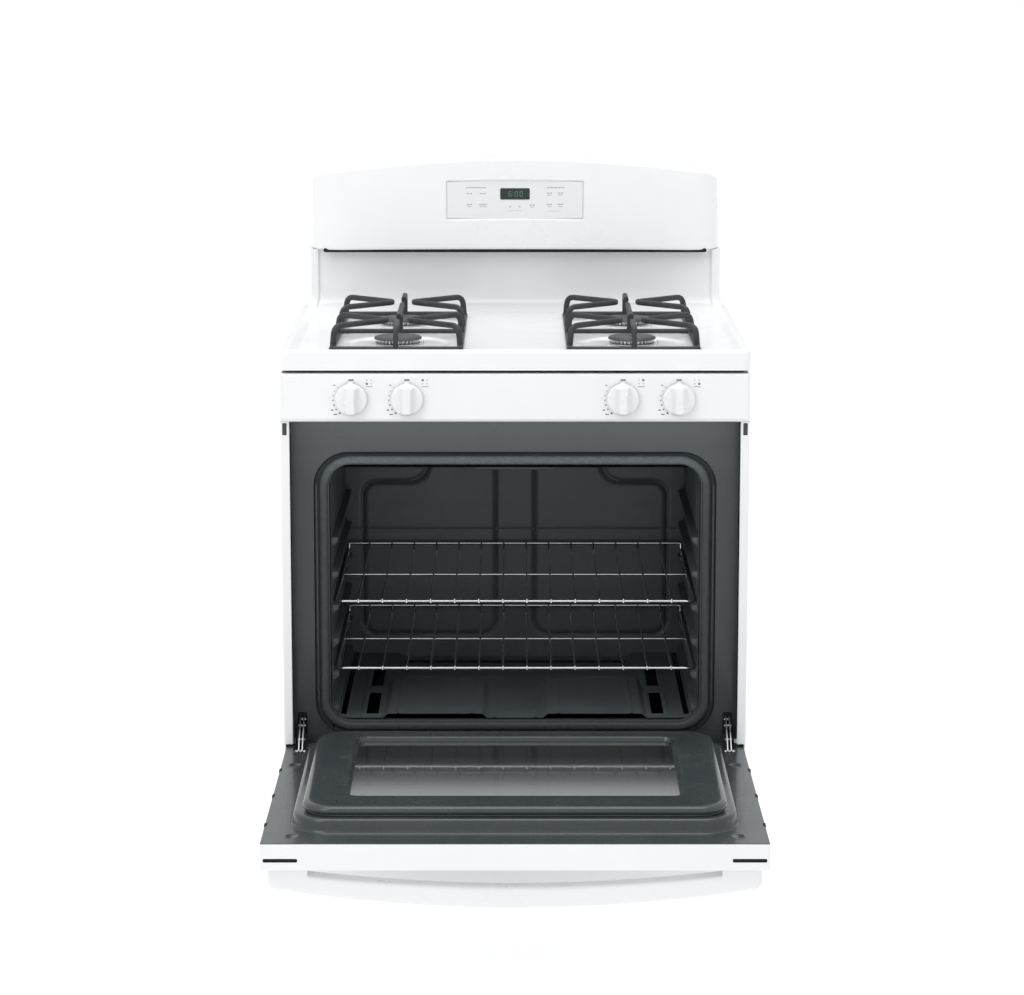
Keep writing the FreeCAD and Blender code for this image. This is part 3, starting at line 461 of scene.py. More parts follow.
def screwHead(centre, radius, axis="z"):
    # a domed head on a washer rim
    shape = [(0.02, 0.62), (0.35, 0.60), (0.62, 0.50), (0.80, 0.34), (0.84, 0.16), (1.0, 0.14), (1.0, 0.0)]
    return revolve([(r * radius, h * radius) for r, h in shape], centre, axis, 32)


def fromCabinet(points):
    # millimetres about the middle of the cabinet to metres in the range's frame
    return np.asarray(points) * 0.001 + np.array([0, cabinetY, 0])


def plainBox(x, y, z):
    # a block with six faces from three pairs of limits in millimetres
    corners = np.array([(a, b, c) for a in x for b in y for c in z], float)
    quads = np.array([(0, 1, 3, 2), (4, 6, 7, 5), (0, 4, 5, 1), (2, 3, 7, 6), (0, 2, 6, 4), (1, 5, 7, 3)])
    return outward((fromCabinet(corners), quads))


print("shapes ready")


# cooktop: a pressed sheet with a raised rim at the front and sides and a shallow pan round each burner
cooktop = {"floor": 907.0, "rimTop": 914.0, "rimWidth": 7.0, "rise": 24.0, "edge": 7.0, "corner": 12.0,
           "wellRadius": 88.0, "wellDepth": 3.2, "wellEdge": 11.0, "seatRadius": 44.0}
burnerSpots = [(sx * 193.0, y) for sx in (-1, 1) for y in (-180.0, 68.0)]
low, high = (np.array(v) * 1000 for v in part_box("cooktop"))
deep = cabinetY * 1000
topX, topY0, topY1 = high[0], low[1] - deep, high[1] - deep


def cooktopHeight(x, y):
    # floor height plus an ease up to the rim at the front and sides, less a round pan about each burner
    edge = np.minimum(topX - np.abs(x), y - topY0)
    rim = 1 - blendStep(cooktop["rimWidth"], cooktop["rimWidth"] + cooktop["rise"], edge)
    z = cooktop["floor"] + (cooktop["rimTop"] - cooktop["floor"]) * rim
    for bx, by in burnerSpots:
        away = np.hypot(x - bx, y - by)
        pan = 1 - blendStep(cooktop["wellRadius"] - cooktop["wellEdge"], cooktop["wellRadius"], away)
        seat = 1 - blendStep(cooktop["seatRadius"] - 8, cooktop["seatRadius"], away)
        z = z - cooktop["wellDepth"] * pan + (cooktop["wellDepth"] - 0.4) * seat
    return z


def formedTop():
    # a grid over the sheet, its corner squares bent to quarter discs, then rows rolled over the edge and down
    columns = np.linspace(-1, 1, 261)
    rows = np.linspace(-1, 1, 211)
    halfY, midY = (topY1 - topY0) / 2, (topY0 + topY1) / 2
    roll = cooktop["edge"]
    wide, long, corner = topX - roll, halfY - roll, cooktop["corner"] - roll
    u, v = np.meshgrid(columns * wide, rows * long)
    cu = np.clip((np.abs(u) - (wide - corner)) / corner, 0, 1)
    cv = np.clip((np.abs(v) - (long - corner)) / corner, 0, 1)
    x = np.sign(u) * (np.minimum(np.abs(u), wide - corner) + corner * cu * np.sqrt(1 - cv**2 / 2))
    y = np.sign(v) * (np.minimum(np.abs(v), long - corner) + corner * cv * np.sqrt(1 - cu**2 / 2)) + midY
    top = np.stack([x, y, cooktopHeight(x, y)], -1)
    border = np.concatenate([top[0, :-1], top[:-1, -1], top[-1, :0:-1], top[:0:-1, 0]])
    ahead, behind = np.roll(border, -1, 0), np.roll(border, 1, 0)
    tangent = (ahead - behind)[:, :2]
    normal = np.stack([tangent[:, 1], -tangent[:, 0]], -1)
    normal /= np.linalg.norm(normal, axis=1, keepdims=True)
    turn = np.radians(np.linspace(0, 90, 9))
    drop = [(roll * math.sin(t), roll * (1 - math.cos(t))) for t in turn]
    drop += [(roll, 20), (roll, 33.2), (roll - 1.2, 33.2), (roll - 1.5, 22)]
    skirt = []
    for out, down in drop:
        rowPoints = border.copy()
        rowPoints[:, :2] += normal * out
        rowPoints[:, 2] = np.minimum(border[:, 2], cooktop["rimTop"]) - down
        skirt.append(rowPoints)
    return joinParts([facing(gridPart(top), (0, 0, 1)), gridPart(np.stack(skirt), True, True)])


# painted shade: a black strip behind the gap between the cooktop's front edge and the control panel,
# darkening the line where shade falls
frontGap = {"half": 370, "front": -296, "back": -294, "low": 864, "high": 884}
gapShade = plainBox((-frontGap["half"], frontGap["half"]), (frontGap["front"], frontGap["back"]),
                   (frontGap["low"], frontGap["high"]))
addPiece("cooktop_gap_shade", *gapShade, paintedShadeBlack, "cabinet", (), "grey_enamel", 30)
points, faces = formedTop()
addPiece("cooktop_sheet", fromCabinet(points), faces, whiteEnamel, "cabinet", ["cooktop"], "white_enamel", 60)
print("cooktop")

# burners: toothed heads, domed caps and spark pins
burner = {"teeth": 30, "cap": 39.5, "base": 906.7, "capBase": 914.0}
headParts, capParts, sparkParts = [], [], []
for bx, by in burnerSpots:
    angles = np.linspace(0, 2 * math.pi, burner["teeth"] * 8, endpoint=False)
    gap = blendStep(-0.25, 0.25, np.sin(angles * burner["teeth"]))
    levels = [(26, -10, 0), (27, -2, 0), (39, 0, 0), (39.5, 1.0, 0), (37, 2.4, 0), (34.5, 3.0, 1),
              (34.8, 7.2, 1), (30, 7.4, 0), (8, 7.4, 0)]
    grid = []
    for radius, height, toothed in levels:
        r = radius - 5.0 * gap * toothed
        grid.append(np.stack([bx + r * np.cos(angles), by + r * np.sin(angles),
                              np.full(len(angles), burner["base"] + height)], -1))
    headParts.append(outward(gridPart(np.stack(grid), True)))
    cap = burner["cap"]
    shape = [(0.5, 5.6), (cap * 0.45, 5.55), (cap - 9, 5.1), (cap - 4, 4.5), (cap - 1.4, 3.5),
             (cap - 0.2, 2.0),
             (cap, 0.8), (cap - 0.6, 0.0), (cap - 3, -0.2), (cap - 6, 0.6), (cap * 0.4, 1.2)]
    capPoints, capFaces = revolve(shape, (0, 0, 0), "z", 96)
    capParts.append((capPoints * 1000 + np.array([bx, by, burner["capBase"] + 0.3]), capFaces))
    pinPoints, pinFaces = revolve([(0.1, 16), (1.4, 15.6), (1.7, 14), (1.7, 9), (3.0, 8.6), (3.0, 0)],
                                  (0, 0, 0), "z", 20)
    sparkParts.append((pinPoints * 1000 + np.array([bx + 43, by, 896]), pinFaces))
for name, parts, material, node, slotName in (
    ("burner_heads_cast", headParts, castAluminium, "burner_heads", "aluminium"),
    ("burner_caps_domed", capParts, capEnamel, "burner_caps", "cap_enamel"),
    ("spark_pins", sparkParts, ceramicBody, "spark_electrodes", "ceramic"),
):
    points, faces = joinParts(parts)
    addPiece(name, fromCabinet(points), faces, material, "cabinet", [node], slotName, 40)
print("burners")

# grates: hairpin fingers bent from one bar, straight fingers fore and aft, and a base frame on four feet
grate = {"outer": 301.0, "inner": 84.0, "front": -293.0, "rear": 178.0, "base": 908.0, "top": 950.0,
         "bar": 9.5, "finger": 8.5, "reach": 82.0, "tip": 19.0, "bend": 15.0}
barShape = barSection(grate["finger"], 9.5, 3.2)


def hairpin(edgeX, inward, burnerX, burnerY):
    # up from the rail, over a bend, along to a rounded tip beside the burner, and back to the rail
    z, base = grate["top"] - 4.9, grate["base"] + 3
    tipX = burnerX - inward * grate["tip"]
    railX = edgeX + inward * grate["bar"] / 2
    near, far = burnerY - grate["reach"] + 2, burnerY + grate["reach"] - 6
    lift = [(railX, near, base), (railX + inward * 3, near, z), (tipX - inward * 4, burnerY - 8, z),
            (tipX, burnerY - 1, z),
            (tipX, burnerY + 1, z), (tipX - inward * 4, burnerY + 8, z), (railX + inward * 3, far, z),
            (railX, far, base)]
    path = roundedPath(lift, grate["bend"], 7)
    return sweep(path, barShape)


def oneGrate(sign):
    left, right = -grate["outer"], -grate["inner"]
    half = grate["bar"] / 2
    corners = [(left + half, grate["front"] + half), (right - half, grate["front"] + half),
               (right - half, grate["rear"] - half), (left + half, grate["rear"] - half)]
    z = grate["base"] + 3.8
    ring = roundedPath([(x, y, z) for x, y in corners + corners[:2]], 9, 6)[1:-1]
    base = sweep(ring, barSection(grate["bar"], 7.6, 3.0), closed=True)
    middleY = -64.0
    crossBar = np.linspace((left + half, middleY, z), (right - half, middleY, z), 4)
    parts = [base, sweep(crossBar, barSection(9, 7.4, 3.0))]
    for cornerX, cornerY in corners:
        foot = np.linspace((cornerX, cornerY, z), (cornerX, cornerY, 907.4), 4)
        parts.append(sweep(foot, barSection(10.5, 10.5, 3.5), up=(0, 1, 0)))
    for _, burnerY in burnerSpots[:2]:
        parts.append(hairpin(left, 1, -193.0, burnerY))
        parts.append(hairpin(right, -1, -193.0, burnerY))
    top = grate["top"] - 4.9
    straight = [
        [(-193, grate["front"] + half, z), (-193, grate["front"] + half + 1, top), (-193, -203, top)],
        [(-193, -138, top), (-193, middleY, top), (-193, 26, top)],
        [(-193, middleY, z), (-193, middleY, top - 1)],
        [(-193, 100, top), (-193, grate["rear"] - half - 1, top), (-193, grate["rear"] - half, z)],
    ]
    for line in straight:
        path = roundedPath(line, 10, 6) if len(line) > 2 else np.array(line, float)
        parts.append(sweep(path, barShape, up=(0, 0, 1) if len(line) > 2 else (0, 1, 0)))
    points, faces = joinParts(parts)
    if sign > 0:
        points = points * np.array([-1, 1, 1])
        faces = faces[:, ::-1]
    return points, faces


for side, sign in (("left", -1), ("right", 1)):
    points, faces = oneGrate(sign)
    addPiece(side + "_grate_cast", fromCabinet(points), faces, castIron, side + "_grate", [side + "_grate"],
             "cast_iron", 50)
print("grates")

# control panel: a folded fascia with rounded edges, marks round each knob, and four knobs
fascia = {"halfWidth": 379.6, "low": 796.8, "high": 876.2, "front": -320.0, "back": -262.0, "edge": 5.0,
          "wall": 1.2}
knobSpots = [("left_rear", -264.0), ("left_front", -174.0), ("right_front", 174.0), ("right_rear", 264.0)]
knob = {"z": 834.0, "radius": 26.0, "back": -323.9, "disc": 8.0, "grip": 15.5, "gripWidth": 8.0,
        "pointer": 3.2}
holes = [circleLoop(x, knob["z"], 8.0) for _, x in knobSpots]
outline = rectLoop(-fascia["halfWidth"], fascia["halfWidth"], fascia["low"], fascia["high"], 4)
fasciaMesh = plate([outline] + holes, 2 * fascia["edge"], fascia["edge"] * 0.9, "front",
                   at(0, fascia["front"], 0))
full = (-fascia["halfWidth"], fascia["halfWidth"], fascia["low"], fascia["high"])
wallIn = inset(full, fascia["wall"])
returnPart = loft([ringXZ(full, 4, fascia["front"] + 5), ringXZ(full, 4, fascia["back"]),
                   ringXZ(wallIn, 3, fascia["back"]), ringXZ(wallIn, 3, fascia["front"] + 8)])
points, faces = joinParts([meshPart(fasciaMesh), splitQuads(outward(returnPart))])
addPiece("control_fascia", points, faces, whiteEnamel, "cabinet", ["control_panel"], "white_enamel", 50)


def knobPart(x):
    # a polar grid: a shallow dome whose edge is rounded, with a tapered grip bar raised across it
    rings = np.concatenate([np.linspace(0.02, 0.86, 34), np.linspace(0.88, 1.0, 12)])
    angles = np.linspace(0, 2 * math.pi, 180, endpoint=False)
    r, a = np.meshgrid(rings, angles, indexing="ij")
    bumpOut = knob["pointer"] * np.exp(-((a - math.pi / 2) / 0.14) ** 2) * blendStep(0.82, 1.0, r)
    radius = knob["radius"] * r + bumpOut
    px, pz = radius * np.cos(a), radius * np.sin(a)
    dome = knob["disc"] - 1.2 * r**2 - 3.0 * np.clip((r - 0.9) / 0.1, 0, 1) ** 2
    width = knob["gripWidth"] + 1.2 * (np.abs(pz) / knob["radius"]) ** 2
    bar = 1 - blendStep(width * 0.62, width * 1.55, np.abs(px))
    ends = 1 - blendStep(0.80, 0.985, r)
    height = dome + knob["grip"] * bar * ends
    front = np.stack([x + px, knob["back"] - height, knob["z"] + pz], -1)
    rim = front[-1]
    back = rim.copy()
    back[:, 1] = knob["back"]
    inner = back.copy()
    inner[:, 0] = x + (inner[:, 0] - x) * 0.93
    inner[:, 2] = knob["z"] + (inner[:, 2] - knob["z"]) * 0.93
    tucked = inner.copy()
    tucked[:, 1] = knob["back"] - 4
    hub = tucked.copy()
    hub[:, 0] = x + (hub[:, 0] - x) * 0.2
    hub[:, 2] = knob["z"] + (hub[:, 2] - knob["z"]) * 0.2
    shell = outward(gridPart(np.concatenate([front, back[None], inner[None], tucked[None], hub[None]]), True))
    stem = sweep(np.linspace((x, knob["back"] - 4, knob["z"]), (x, -293, knob["z"]), 5),
                 roundSection(3.9, 24))
    return joinParts([shell, stem])


for name, x in knobSpots:
    points, faces = knobPart(x)
    addPiece("knob_" + name + "_moulded", fromCabinet(points), faces, whiteMoulding, "knob_" + name,
             ["knob_" + name], "white_plastic", 45)
    nodes["valve_plug_" + name].data.materials.clear()
    nodes["valve_plug_" + name].data.materials.append(brassFitting)
print("control panel and knobs")

# riser: two side posts, a recessed middle and a cove that sweeps into the cooktop
riser = {"half": 365.5, "front": 257.0, "back": 318.4, "low": 906.9, "high": 1017.0, "post": 14.0,
         "recess": 4.0, "cove": 40.0, "roll": 4.0, "flare": 12.5, "flareHigh": 34.0}


def riserPart():
    # a sheet that stands forward at the posts and back between them, with a quarter-round cove at its foot
    x = np.concatenate([np.linspace(-riser["half"], -riser["half"] + 26, 40), np.linspace(-338, 338, 60),
                        np.linspace(riser["half"] - 26, riser["half"], 40)])
    z = np.concatenate([np.linspace(0, 1, 22) ** 1.5 * riser["cove"], np.linspace(riser["cove"] + 3, 99, 24),
                        np.linspace(102, riser["high"] - riser["low"], 10)])
    xs, zs = np.meshgrid(x, z)
    posts = 1 - blendStep(riser["post"], riser["post"] + 5, riser["half"] - np.abs(xs))
    lip = np.clip(1 - zs / riser["cove"], 0, 1)
    cove = riser["cove"] * (1 - np.sqrt(np.clip(1 - lip**2, 0, 1)))
    edge = np.clip(riser["roll"] - (riser["half"] - np.abs(xs)), 0, riser["roll"])
    rolled = riser["roll"] - np.sqrt(np.maximum(riser["roll"] ** 2 - edge**2, 0))
    y = riser["front"] + riser["recess"] * (1 - posts) * blendStep(4, 14, zs) - cove + rolled
    foot = np.clip(1 - z / riser["flareHigh"], 0, 1)
    spread = 1 + riser["flare"] * (1 - np.sqrt(1 - foot**2)) / riser["half"]
    face = facing(gridPart(np.stack([xs * spread[:, None], y, zs + riser["low"]], -1)), (0, -1, 0))
    sides = []
    for sign in (-1, 1):
        column = np.stack([sign * riser["half"] * spread, y[:, 0 if sign < 0 else -1], z + riser["low"]], -1)
        rear = column.copy()
        rear[:, 1] = riser["back"]
        sides.append(facing(gridPart(np.stack([column, rear])), (sign, 0, 0)))
    topRow = np.stack([x, y[-1], np.full(len(x), riser["high"])], -1)
    topRear = topRow.copy()
    topRear[:, 1] = riser["back"]
    lid = facing(gridPart(np.stack([topRow, topRear])), (0, 0, 1))
    return joinParts([face, lid] + sides)


points, faces = riserPart()
addPiece("backguard_riser_sheet", fromCabinet(points), faces, whiteEnamel, "cabinet", ["backguard_riser"],
         "white_enamel", 50)

# console: an arched housing that bows forwards, with a shallow pocket for the key overlay
console = {"half": 364.0, "low": 1017.0, "arch": 4.0, "high": 1156.0, "crown": 1185.0, "back": 318.6,
           "lean": 3.0,
           "edge": 9.0, "foot": 4.0, "cornerRadius": 12.0, "pocketHalf": 121.0, "pocketLow": 1074.5,
           "pocketHigh": 1141.5, "pocketArch": 1.6, "pocketDepth": 3.0}


def planCurve(count):
    # the housing seen from above: straight cheeks, corners of one arc and a shallow bow across the front
    t = np.linspace(0, 1, 60)
    bowX = np.linspace(-304, 304, count)
    bow = np.stack([bowX, 215 + 13 * (bowX / 304) ** 2], -1)
    p0, p1, p2 = np.array([-364.0, 290.0]), np.array([-362.0, 237.0]), np.array([-304.0, 228.0])
    corner = (1 - t)[:, None] ** 2 * p0 + (2 * t * (1 - t))[:, None] * p1 + t[:, None] ** 2 * p2
    mirrored = corner[::-1] * np.array([-1, 1])
    cheek = np.linspace((-364.0, 318.6), (-364.0, 292.0), 8)
    return np.concatenate([cheek, corner, bow[1:-1], mirrored, cheek[::-1] * np.array([-1, 1])])


def consolePart():
    # rows climb from the underside, round the foot, up the front, over the top edge and back to the wall
    plan = planCurve(330)
    tangent = np.gradient(plan, axis=0)
    normal = np.stack([tangent[:, 1], -tangent[:, 0]], -1)
    normal /= np.linalg.norm(normal, axis=1, keepdims=True)
    x = plan[:, 0]
    share = np.clip(1 - (x / console["half"]) ** 2, 0, 1)
    bottom = console["low"] + console["arch"] * share
    cornerDrop = console["cornerRadius"] * np.clip((np.abs(x) - 334) / 30, 0, 1) ** 2
    top = console["high"] + (console["crown"] - console["high"]) * share - cornerDrop
    rows = []

    def row(inward, z, towardsBack=0.0):
        taper = 1 - console["lean"] / console["half"] * (z - console["low"]) / 150
        spot = plan - normal * np.broadcast_to(inward, len(plan))[:, None]
        y = spot[:, 1] + (console["back"] - spot[:, 1]) * towardsBack
        rows.append(np.stack([spot[:, 0] * taper, y, z], -1))

    foot, edge = console["foot"], console["edge"]
    row(foot, bottom, 0.92)
    for angle in np.radians(np.linspace(0, 90, 7)):
        row(foot * (1 - math.sin(angle)), bottom + foot * (1 - math.cos(angle)))
    for share2 in np.linspace(0, 1, 92)[1:-1]:
        row(0.0, bottom + foot + (top - edge - bottom - foot) * share2)
    for angle in np.radians(np.linspace(0, 90, 12)):
        row(edge * (1 - math.cos(angle)), top - edge + edge * math.sin(angle))
    for back in (0.15, 0.5, 0.85, 0.97, 1.0):
        row(edge, top - 3.0 * back**6, back)
    grid = np.stack(rows)
    across, up = grid[..., 0], grid[..., 2]
    archTop = console["pocketHigh"] + console["pocketArch"] * (1 - (across / console["pocketHalf"]) ** 2)
    inside = 1 - blendStep(-1.6, 1.0, np.abs(across) - console["pocketHalf"])
    inside = inside * blendStep(-1.6, 1.0,
                                up - console["pocketLow"]) * (1 - blendStep(-1.6, 1.0, up - archTop))
    isFront = (grid[..., 1] < 222).astype(float)
    grid[..., 1] += console["pocketDepth"] * inside * isFront
    closeBack = grid[[0, -1]].copy()
    closeBack[..., 1] = console["back"]
    shell = facing(gridPart(grid), (0, -1, 0))
    rear = facing(gridPart(closeBack), (0, 1, 0))
    return joinParts([shell, rear])


points, faces = consolePart()
addPiece("console_shell", fromCabinet(points), faces, whiteMoulding, "cabinet", ["console_housing"],
         "white_plastic", 40)

# painted shade: a black strip in the vent gap under the console's lower edge, where shade falls
vent = {"half": 340.0, "low": 1013.6, "high": 1020.5, "front": 238.0, "back": 262.0}
ventShadeLoops = [ringXZ((-vent["half"], vent["half"], vent["low"], vent["high"]), 3, y)
             for y in (vent["front"], vent["back"])]
addPiece("console_vent_shade_strip", *outward(loft(ventShadeLoops, True, True)), paintedShadeBlack, "cabinet", (), "display", 50)

# key overlay: an arched sheet with plain key marks and a clock window
overlay = {"front": 216.9, "half": 119.6, "low": 1075.6, "high": 1140.4, "arch": 1.4}
archX = np.linspace(overlay["half"], -overlay["half"], 30)
archLine = np.stack([archX, overlay["high"] + overlay["arch"] * (1 - (archX / overlay["half"]) ** 2)], -1)
overlayLoop = np.concatenate([archLine,
                              [(-overlay["half"], overlay["low"]), (overlay["half"], overlay["low"])]])
place("key_overlay", plate([overlayLoop], 1.4, 0.4, "front", at(0, overlay["front"] + 0.5, 0)), keyOverlay,
      "cabinet", ["touch_panel"], "overlay")


def mark(name, loops, material, front, slotName="overlay"):
    # a printed mark: a very thin plate just proud of a face
    return place(name, plate(loops, 0.24, 0.05, "front", at(0, front, 0)), material, "cabinet", (), slotName)


keyFace = overlay["front"] + 0.42


def wordLoops(x0, x1, z, height=1.3, letter=1.7):
    # a short row of small upright blocks, as small lettering looks from a distance
    spots = np.arange(x0, x1 - letter * 0.5, letter + 0.7)
    tall = [height * (1.35 if index % 3 == 0 else 1.0) for index in range(len(spots))]
    return [rectLoop(x, x + letter, z, z + size, 0.3, 2) for x, size in zip(spots, tall)]


keyMarks = wordLoops(-86, -50, 1129.2) + wordLoops(56, 86, 1129.2)
for left, right, z, second in (
        (-85, -76, 1118.6, 0), (-61, -51, 1118.6, 0), (-85, -76, 1099.6, 1), (-63, -50, 1099.6, 1),
        (56, 65, 1119.6, 1), (76, 86, 1119.6, 1), (56, 65, 1099.6, 1), (76, 86, 1099.6, 1),
        (26, 36, 1098.4, 1)):
    keyMarks += wordLoops(left, right, z)
    if second:
        keyMarks += wordLoops(left + 1.5, right - 1, z - 3.4, 1.0)
mark("key_marks", keyMarks, greyPrint, keyFace)
dotMarks = [rectLoop(x - 1.6, x + 1.6, 1095.4, 1096.8, 0.4, 3) for x in (-8.6, 8.1)]
dotMarks += wordLoops(-13, 11, 1088.6, 0.7, 1.2) + wordLoops(60, 80, 1088.0, 0.7, 1.2)
mark("key_dots", dotMarks, greyPrint, keyFace)

window = {"half": 26.0, "low": 1109.0, "high": 1129.0, "front": 216.75, "figures": 216.15,
          "figureLow": 1114.5}
windowLoop = rectLoop(-window["half"], window["half"], window["low"], window["high"], 1.8)
place("clock_window", plate([windowLoop], 0.8, 0.25, "front", at(0, window["front"], 0)), displayBlack,
      "cabinet", ["display_window"], "display")
segments = {"a": (0, 9, 0), "b": (2, 6.7, 1), "c": (2, 2.3, 1), "d": (0, 0, 0), "e": (-2, 2.3, 1),
            "f": (-2, 6.7, 1), "g": (0, 4.5, 0)}
shown = {"6": "acdefg", "0": "abcdef"}


def digitLoops(figure, centreX, lowZ):
    # seven-bar figures, each bar a small rounded rectangle
    loops = []
    for bar in shown[figure]:
        dx, dz, upright = segments[bar]
        width, height = (1.1, 3.4) if upright else (3.4, 1.1)
        x, z = centreX + dx * 1.15, lowZ + dz
        loops.append(rectLoop(x - width / 2, x + width / 2, z - height / 2, z + height / 2, 0.4, 3))
    return loops


digitMarks = []
for figure, centreX in zip("600", (-8.5, 2.5, 11.0)):
    digitMarks += digitLoops(figure, centreX, window["figureLow"])
digitMarks += [rectLoop(-3.9, -2.7, z, z + 1.3, 0.3, 3) for z in (1117, 1121)]
mark("clock_digits", digitMarks, digitGlow, window["figures"], "display")

# marks round the knobs: ticks that lengthen clockwise from low to high, an off mark, and a burner map
faceY = fascia["front"] - 0.03
tickLoops, redLoops = [], []
for index, (name, x) in enumerate(knobSpots):
    z = knob["z"]
    tickLoops.append(rectLoop(x - 4.5, x + 4.5, z + 30.2, z + 32.6, 0.9))
    for step, angle in enumerate(np.radians(np.linspace(138, 214, 6))):
        size = 0.7 + 0.14 * step
        cx, cz = x + 29.3 * math.cos(angle), z + 29.3 * math.sin(angle)
        tickLoops.append(circleLoop(cx, cz, size, 14))
    tickLoops.append(rectLoop(x - 29, x - 25, z + 22.0, z + 23.4, 0.6))
    tickLoops.append(rectLoop(x - 33, x - 28.5, z - 18.6, z - 16.6, 0.8))
    tickLoops.append(rectLoop(x - 28.5, x - 22.5, z - 25.4, z - 23.6, 0.8))
    redLoops.append(circleLoop(x - 18.4, z - 22.6, 1.7, 18))
    for spot in range(4):
        mapX, mapZ = x + 25.5 + 7 * (spot % 2), z + 25.2 + 6 * (spot // 2)
        tickLoops.append(circleLoop(mapX, mapZ, 2.0 if spot == (0, 2, 3, 1)[index] else 0.9, 18))
    tickLoops.append(rectLoop(x + 24, x + 35, z + 20.0, z + 21.0, 0.4))
mark("panel_marks", tickLoops, greyPrint, faceY, "white_enamel")
mark("panel_lighting_marks", redLoops, redPrint, faceY, "white_enamel")
print("riser and console")

# oven front: a flat flange with hinge slots, a groove, and an edge that turns into the oven
ovenFront = {"flange": (-364.0, 364.0, 203.0, 795.0), "front": -258.0,
             "groove": (-330.0, 330.0, 262.0, 737.5),
             "grooveRadius": 57.0, "seat": (-321.0, 321.0, 271.0, 729.0), "seatRadius": 48.0,
             "mouth": (-304.0, 304.0, 287.0, 716.0), "mouthRadius": 34.0, "slotX": 352, "slotLow": 262,
             "slotHigh": 300, "returnX": 363.4, "returnBack": -304.0, "screwX": 340, "screwZ": 783}
groove = ovenFront["groove"]
grooveLoop = ringXZ(groove, ovenFront["grooveRadius"], 0, 14, 10)[:, [0, 2]] * 1000
flangeOutline = rectLoop(*ovenFront["flange"], 2)
slotSpots = (-ovenFront["slotX"], ovenFront["slotX"])
slots = [rectLoop(x - 7.5, x + 7.5, ovenFront["slotLow"], ovenFront["slotHigh"], 2.5) for x in slotSpots]
flangeMesh = plate([flangeOutline, grooveLoop] + slots, 1.2, 0.35, "front", at(0, ovenFront["front"], 0))
y = ovenFront["front"]
rings = []
for name, amount, depth in (
        ("groove", 0, 0.2), ("groove", 0.3, 1.2), ("groove", 1.5, 4.6), ("groove", 4.5, 6.0),
        ("seat", -3, 5.6), ("seat", -0.6, 3.4), ("seat", 0, 0.6), ("seat", 1.0, 0.0),
        ("mouth", -2.5, 0.0), ("mouth", -0.8, 0.5), ("mouth", 0.0, 2.2), ("mouth", 0.3, 10.0)):
    radius = ovenFront[name + "Radius"] - amount
    rings.append(ringXZ(inset(ovenFront[name], amount), radius, y + depth, 14, 10))
ringSheet = splitQuads(facing(loft(rings), (0, -1, 0)))
returnLoops = []
for side in (-1, 1):
    x = side * ovenFront["returnX"]
    back = ovenFront["returnBack"]
    strip = [(x, back, 260.0), (x, back, 795.0), (x, y, 795.0), (x, y, 260.0)]
    winding = [[0, 1, 2], [0, 2, 3]] if side > 0 else [[0, 2, 1], [0, 3, 2]]
    returnLoops.append((fromCabinet(strip), np.array(winding)))
points, faces = joinParts([meshPart(flangeMesh), ringSheet] + returnLoops)
addPiece("oven_front_flange", points, faces, frameEnamel, "cabinet", ["oven_front_frame"], "grey_enamel", 40)

# gasket: a braided tube laid round the mouth
gasket = {"middle": (-313.0, 313.0, 279.0, 725.5), "radius": 45.0, "width": 14.0, "depth": 13.6,
          "front": -272.2}
gasketPath = ringXZ(gasket["middle"], gasket["radius"], gasket["front"] + gasket["depth"] / 2, 24, 60)
around = np.linspace(0, 2 * math.pi, 40, endpoint=False)
acrossAxis = np.sign(np.cos(around)) * np.abs(np.cos(around)) ** 0.75 * gasket["width"] / 2
depthAxis = np.sign(np.sin(around)) * np.abs(np.sin(around)) ** 0.75 * gasket["depth"] / 2
section = np.stack([acrossAxis, depthAxis], -1) * 0.001
points, faces = sweep(gasketPath, section, up=(0, -1, 0), closed=True)
addPiece("oven_gasket_braid", points, faces, braid, "cabinet", ["oven_gasket"], "gasket_fibre", 60)
print("oven front and gasket")

# painted shade: black plates behind the hinge slots, where shade falls; and the fasteners of the oven front
slotHeights = (ovenFront["slotLow"] - 4, ovenFront["slotHigh"] + 4)
slotShadeBoxes = [plainBox((x - 10, x + 10), (-256.7, -255.8), slotHeights) for x in slotSpots]
addPiece("hinge_slot_shade", *joinParts(slotShadeBoxes), paintedShadeBlack, "cabinet", (), "grey_enamel", 30)
frontParts = [screwHead(at(x, ovenFront["front"], ovenFront["screwZ"]), 0.0042, "y")
              for x in (-ovenFront["screwX"], ovenFront["screwX"])]
addPiece("oven_front_screws", *joinParts(frontParts), steelScrew, "cabinet", (), "chrome_wire", 40)

# oven liner: pressed sheets, each a height field over its own plane
cavity = {"x": 302.8, "front": -256.0, "back": 220.0, "low": 288.5, "high": 711.6, "rib": 10.6,
          "ribLow": 309.0, "ribPitch": 57.0, "bend": 516.0}


def roundBox(x, z, box, radius):
    # distance outside a rounded rectangle, negative inside it
    cx, cz = (box[0] + box[1]) / 2, (box[2] + box[3]) / 2
    qx = np.abs(x - cx) - (box[1] - box[0]) / 2 + radius
    qz = np.abs(z - cz) - (box[3] - box[2]) / 2 + radius
    return np.hypot(np.maximum(qx, 0), np.maximum(qz, 0)) + np.minimum(np.maximum(qx, qz), 0) - radius


def softUnion(a, b, width):
    # the smaller of two distances, with their meeting rounded
    h = np.maximum(width - np.abs(a - b), 0) / width
    return np.minimum(a, b) - h * h * width / 4


def ridge(distance, width):
    # a soft bead where a distance is nought
    return np.exp(-((distance / width) ** 2))


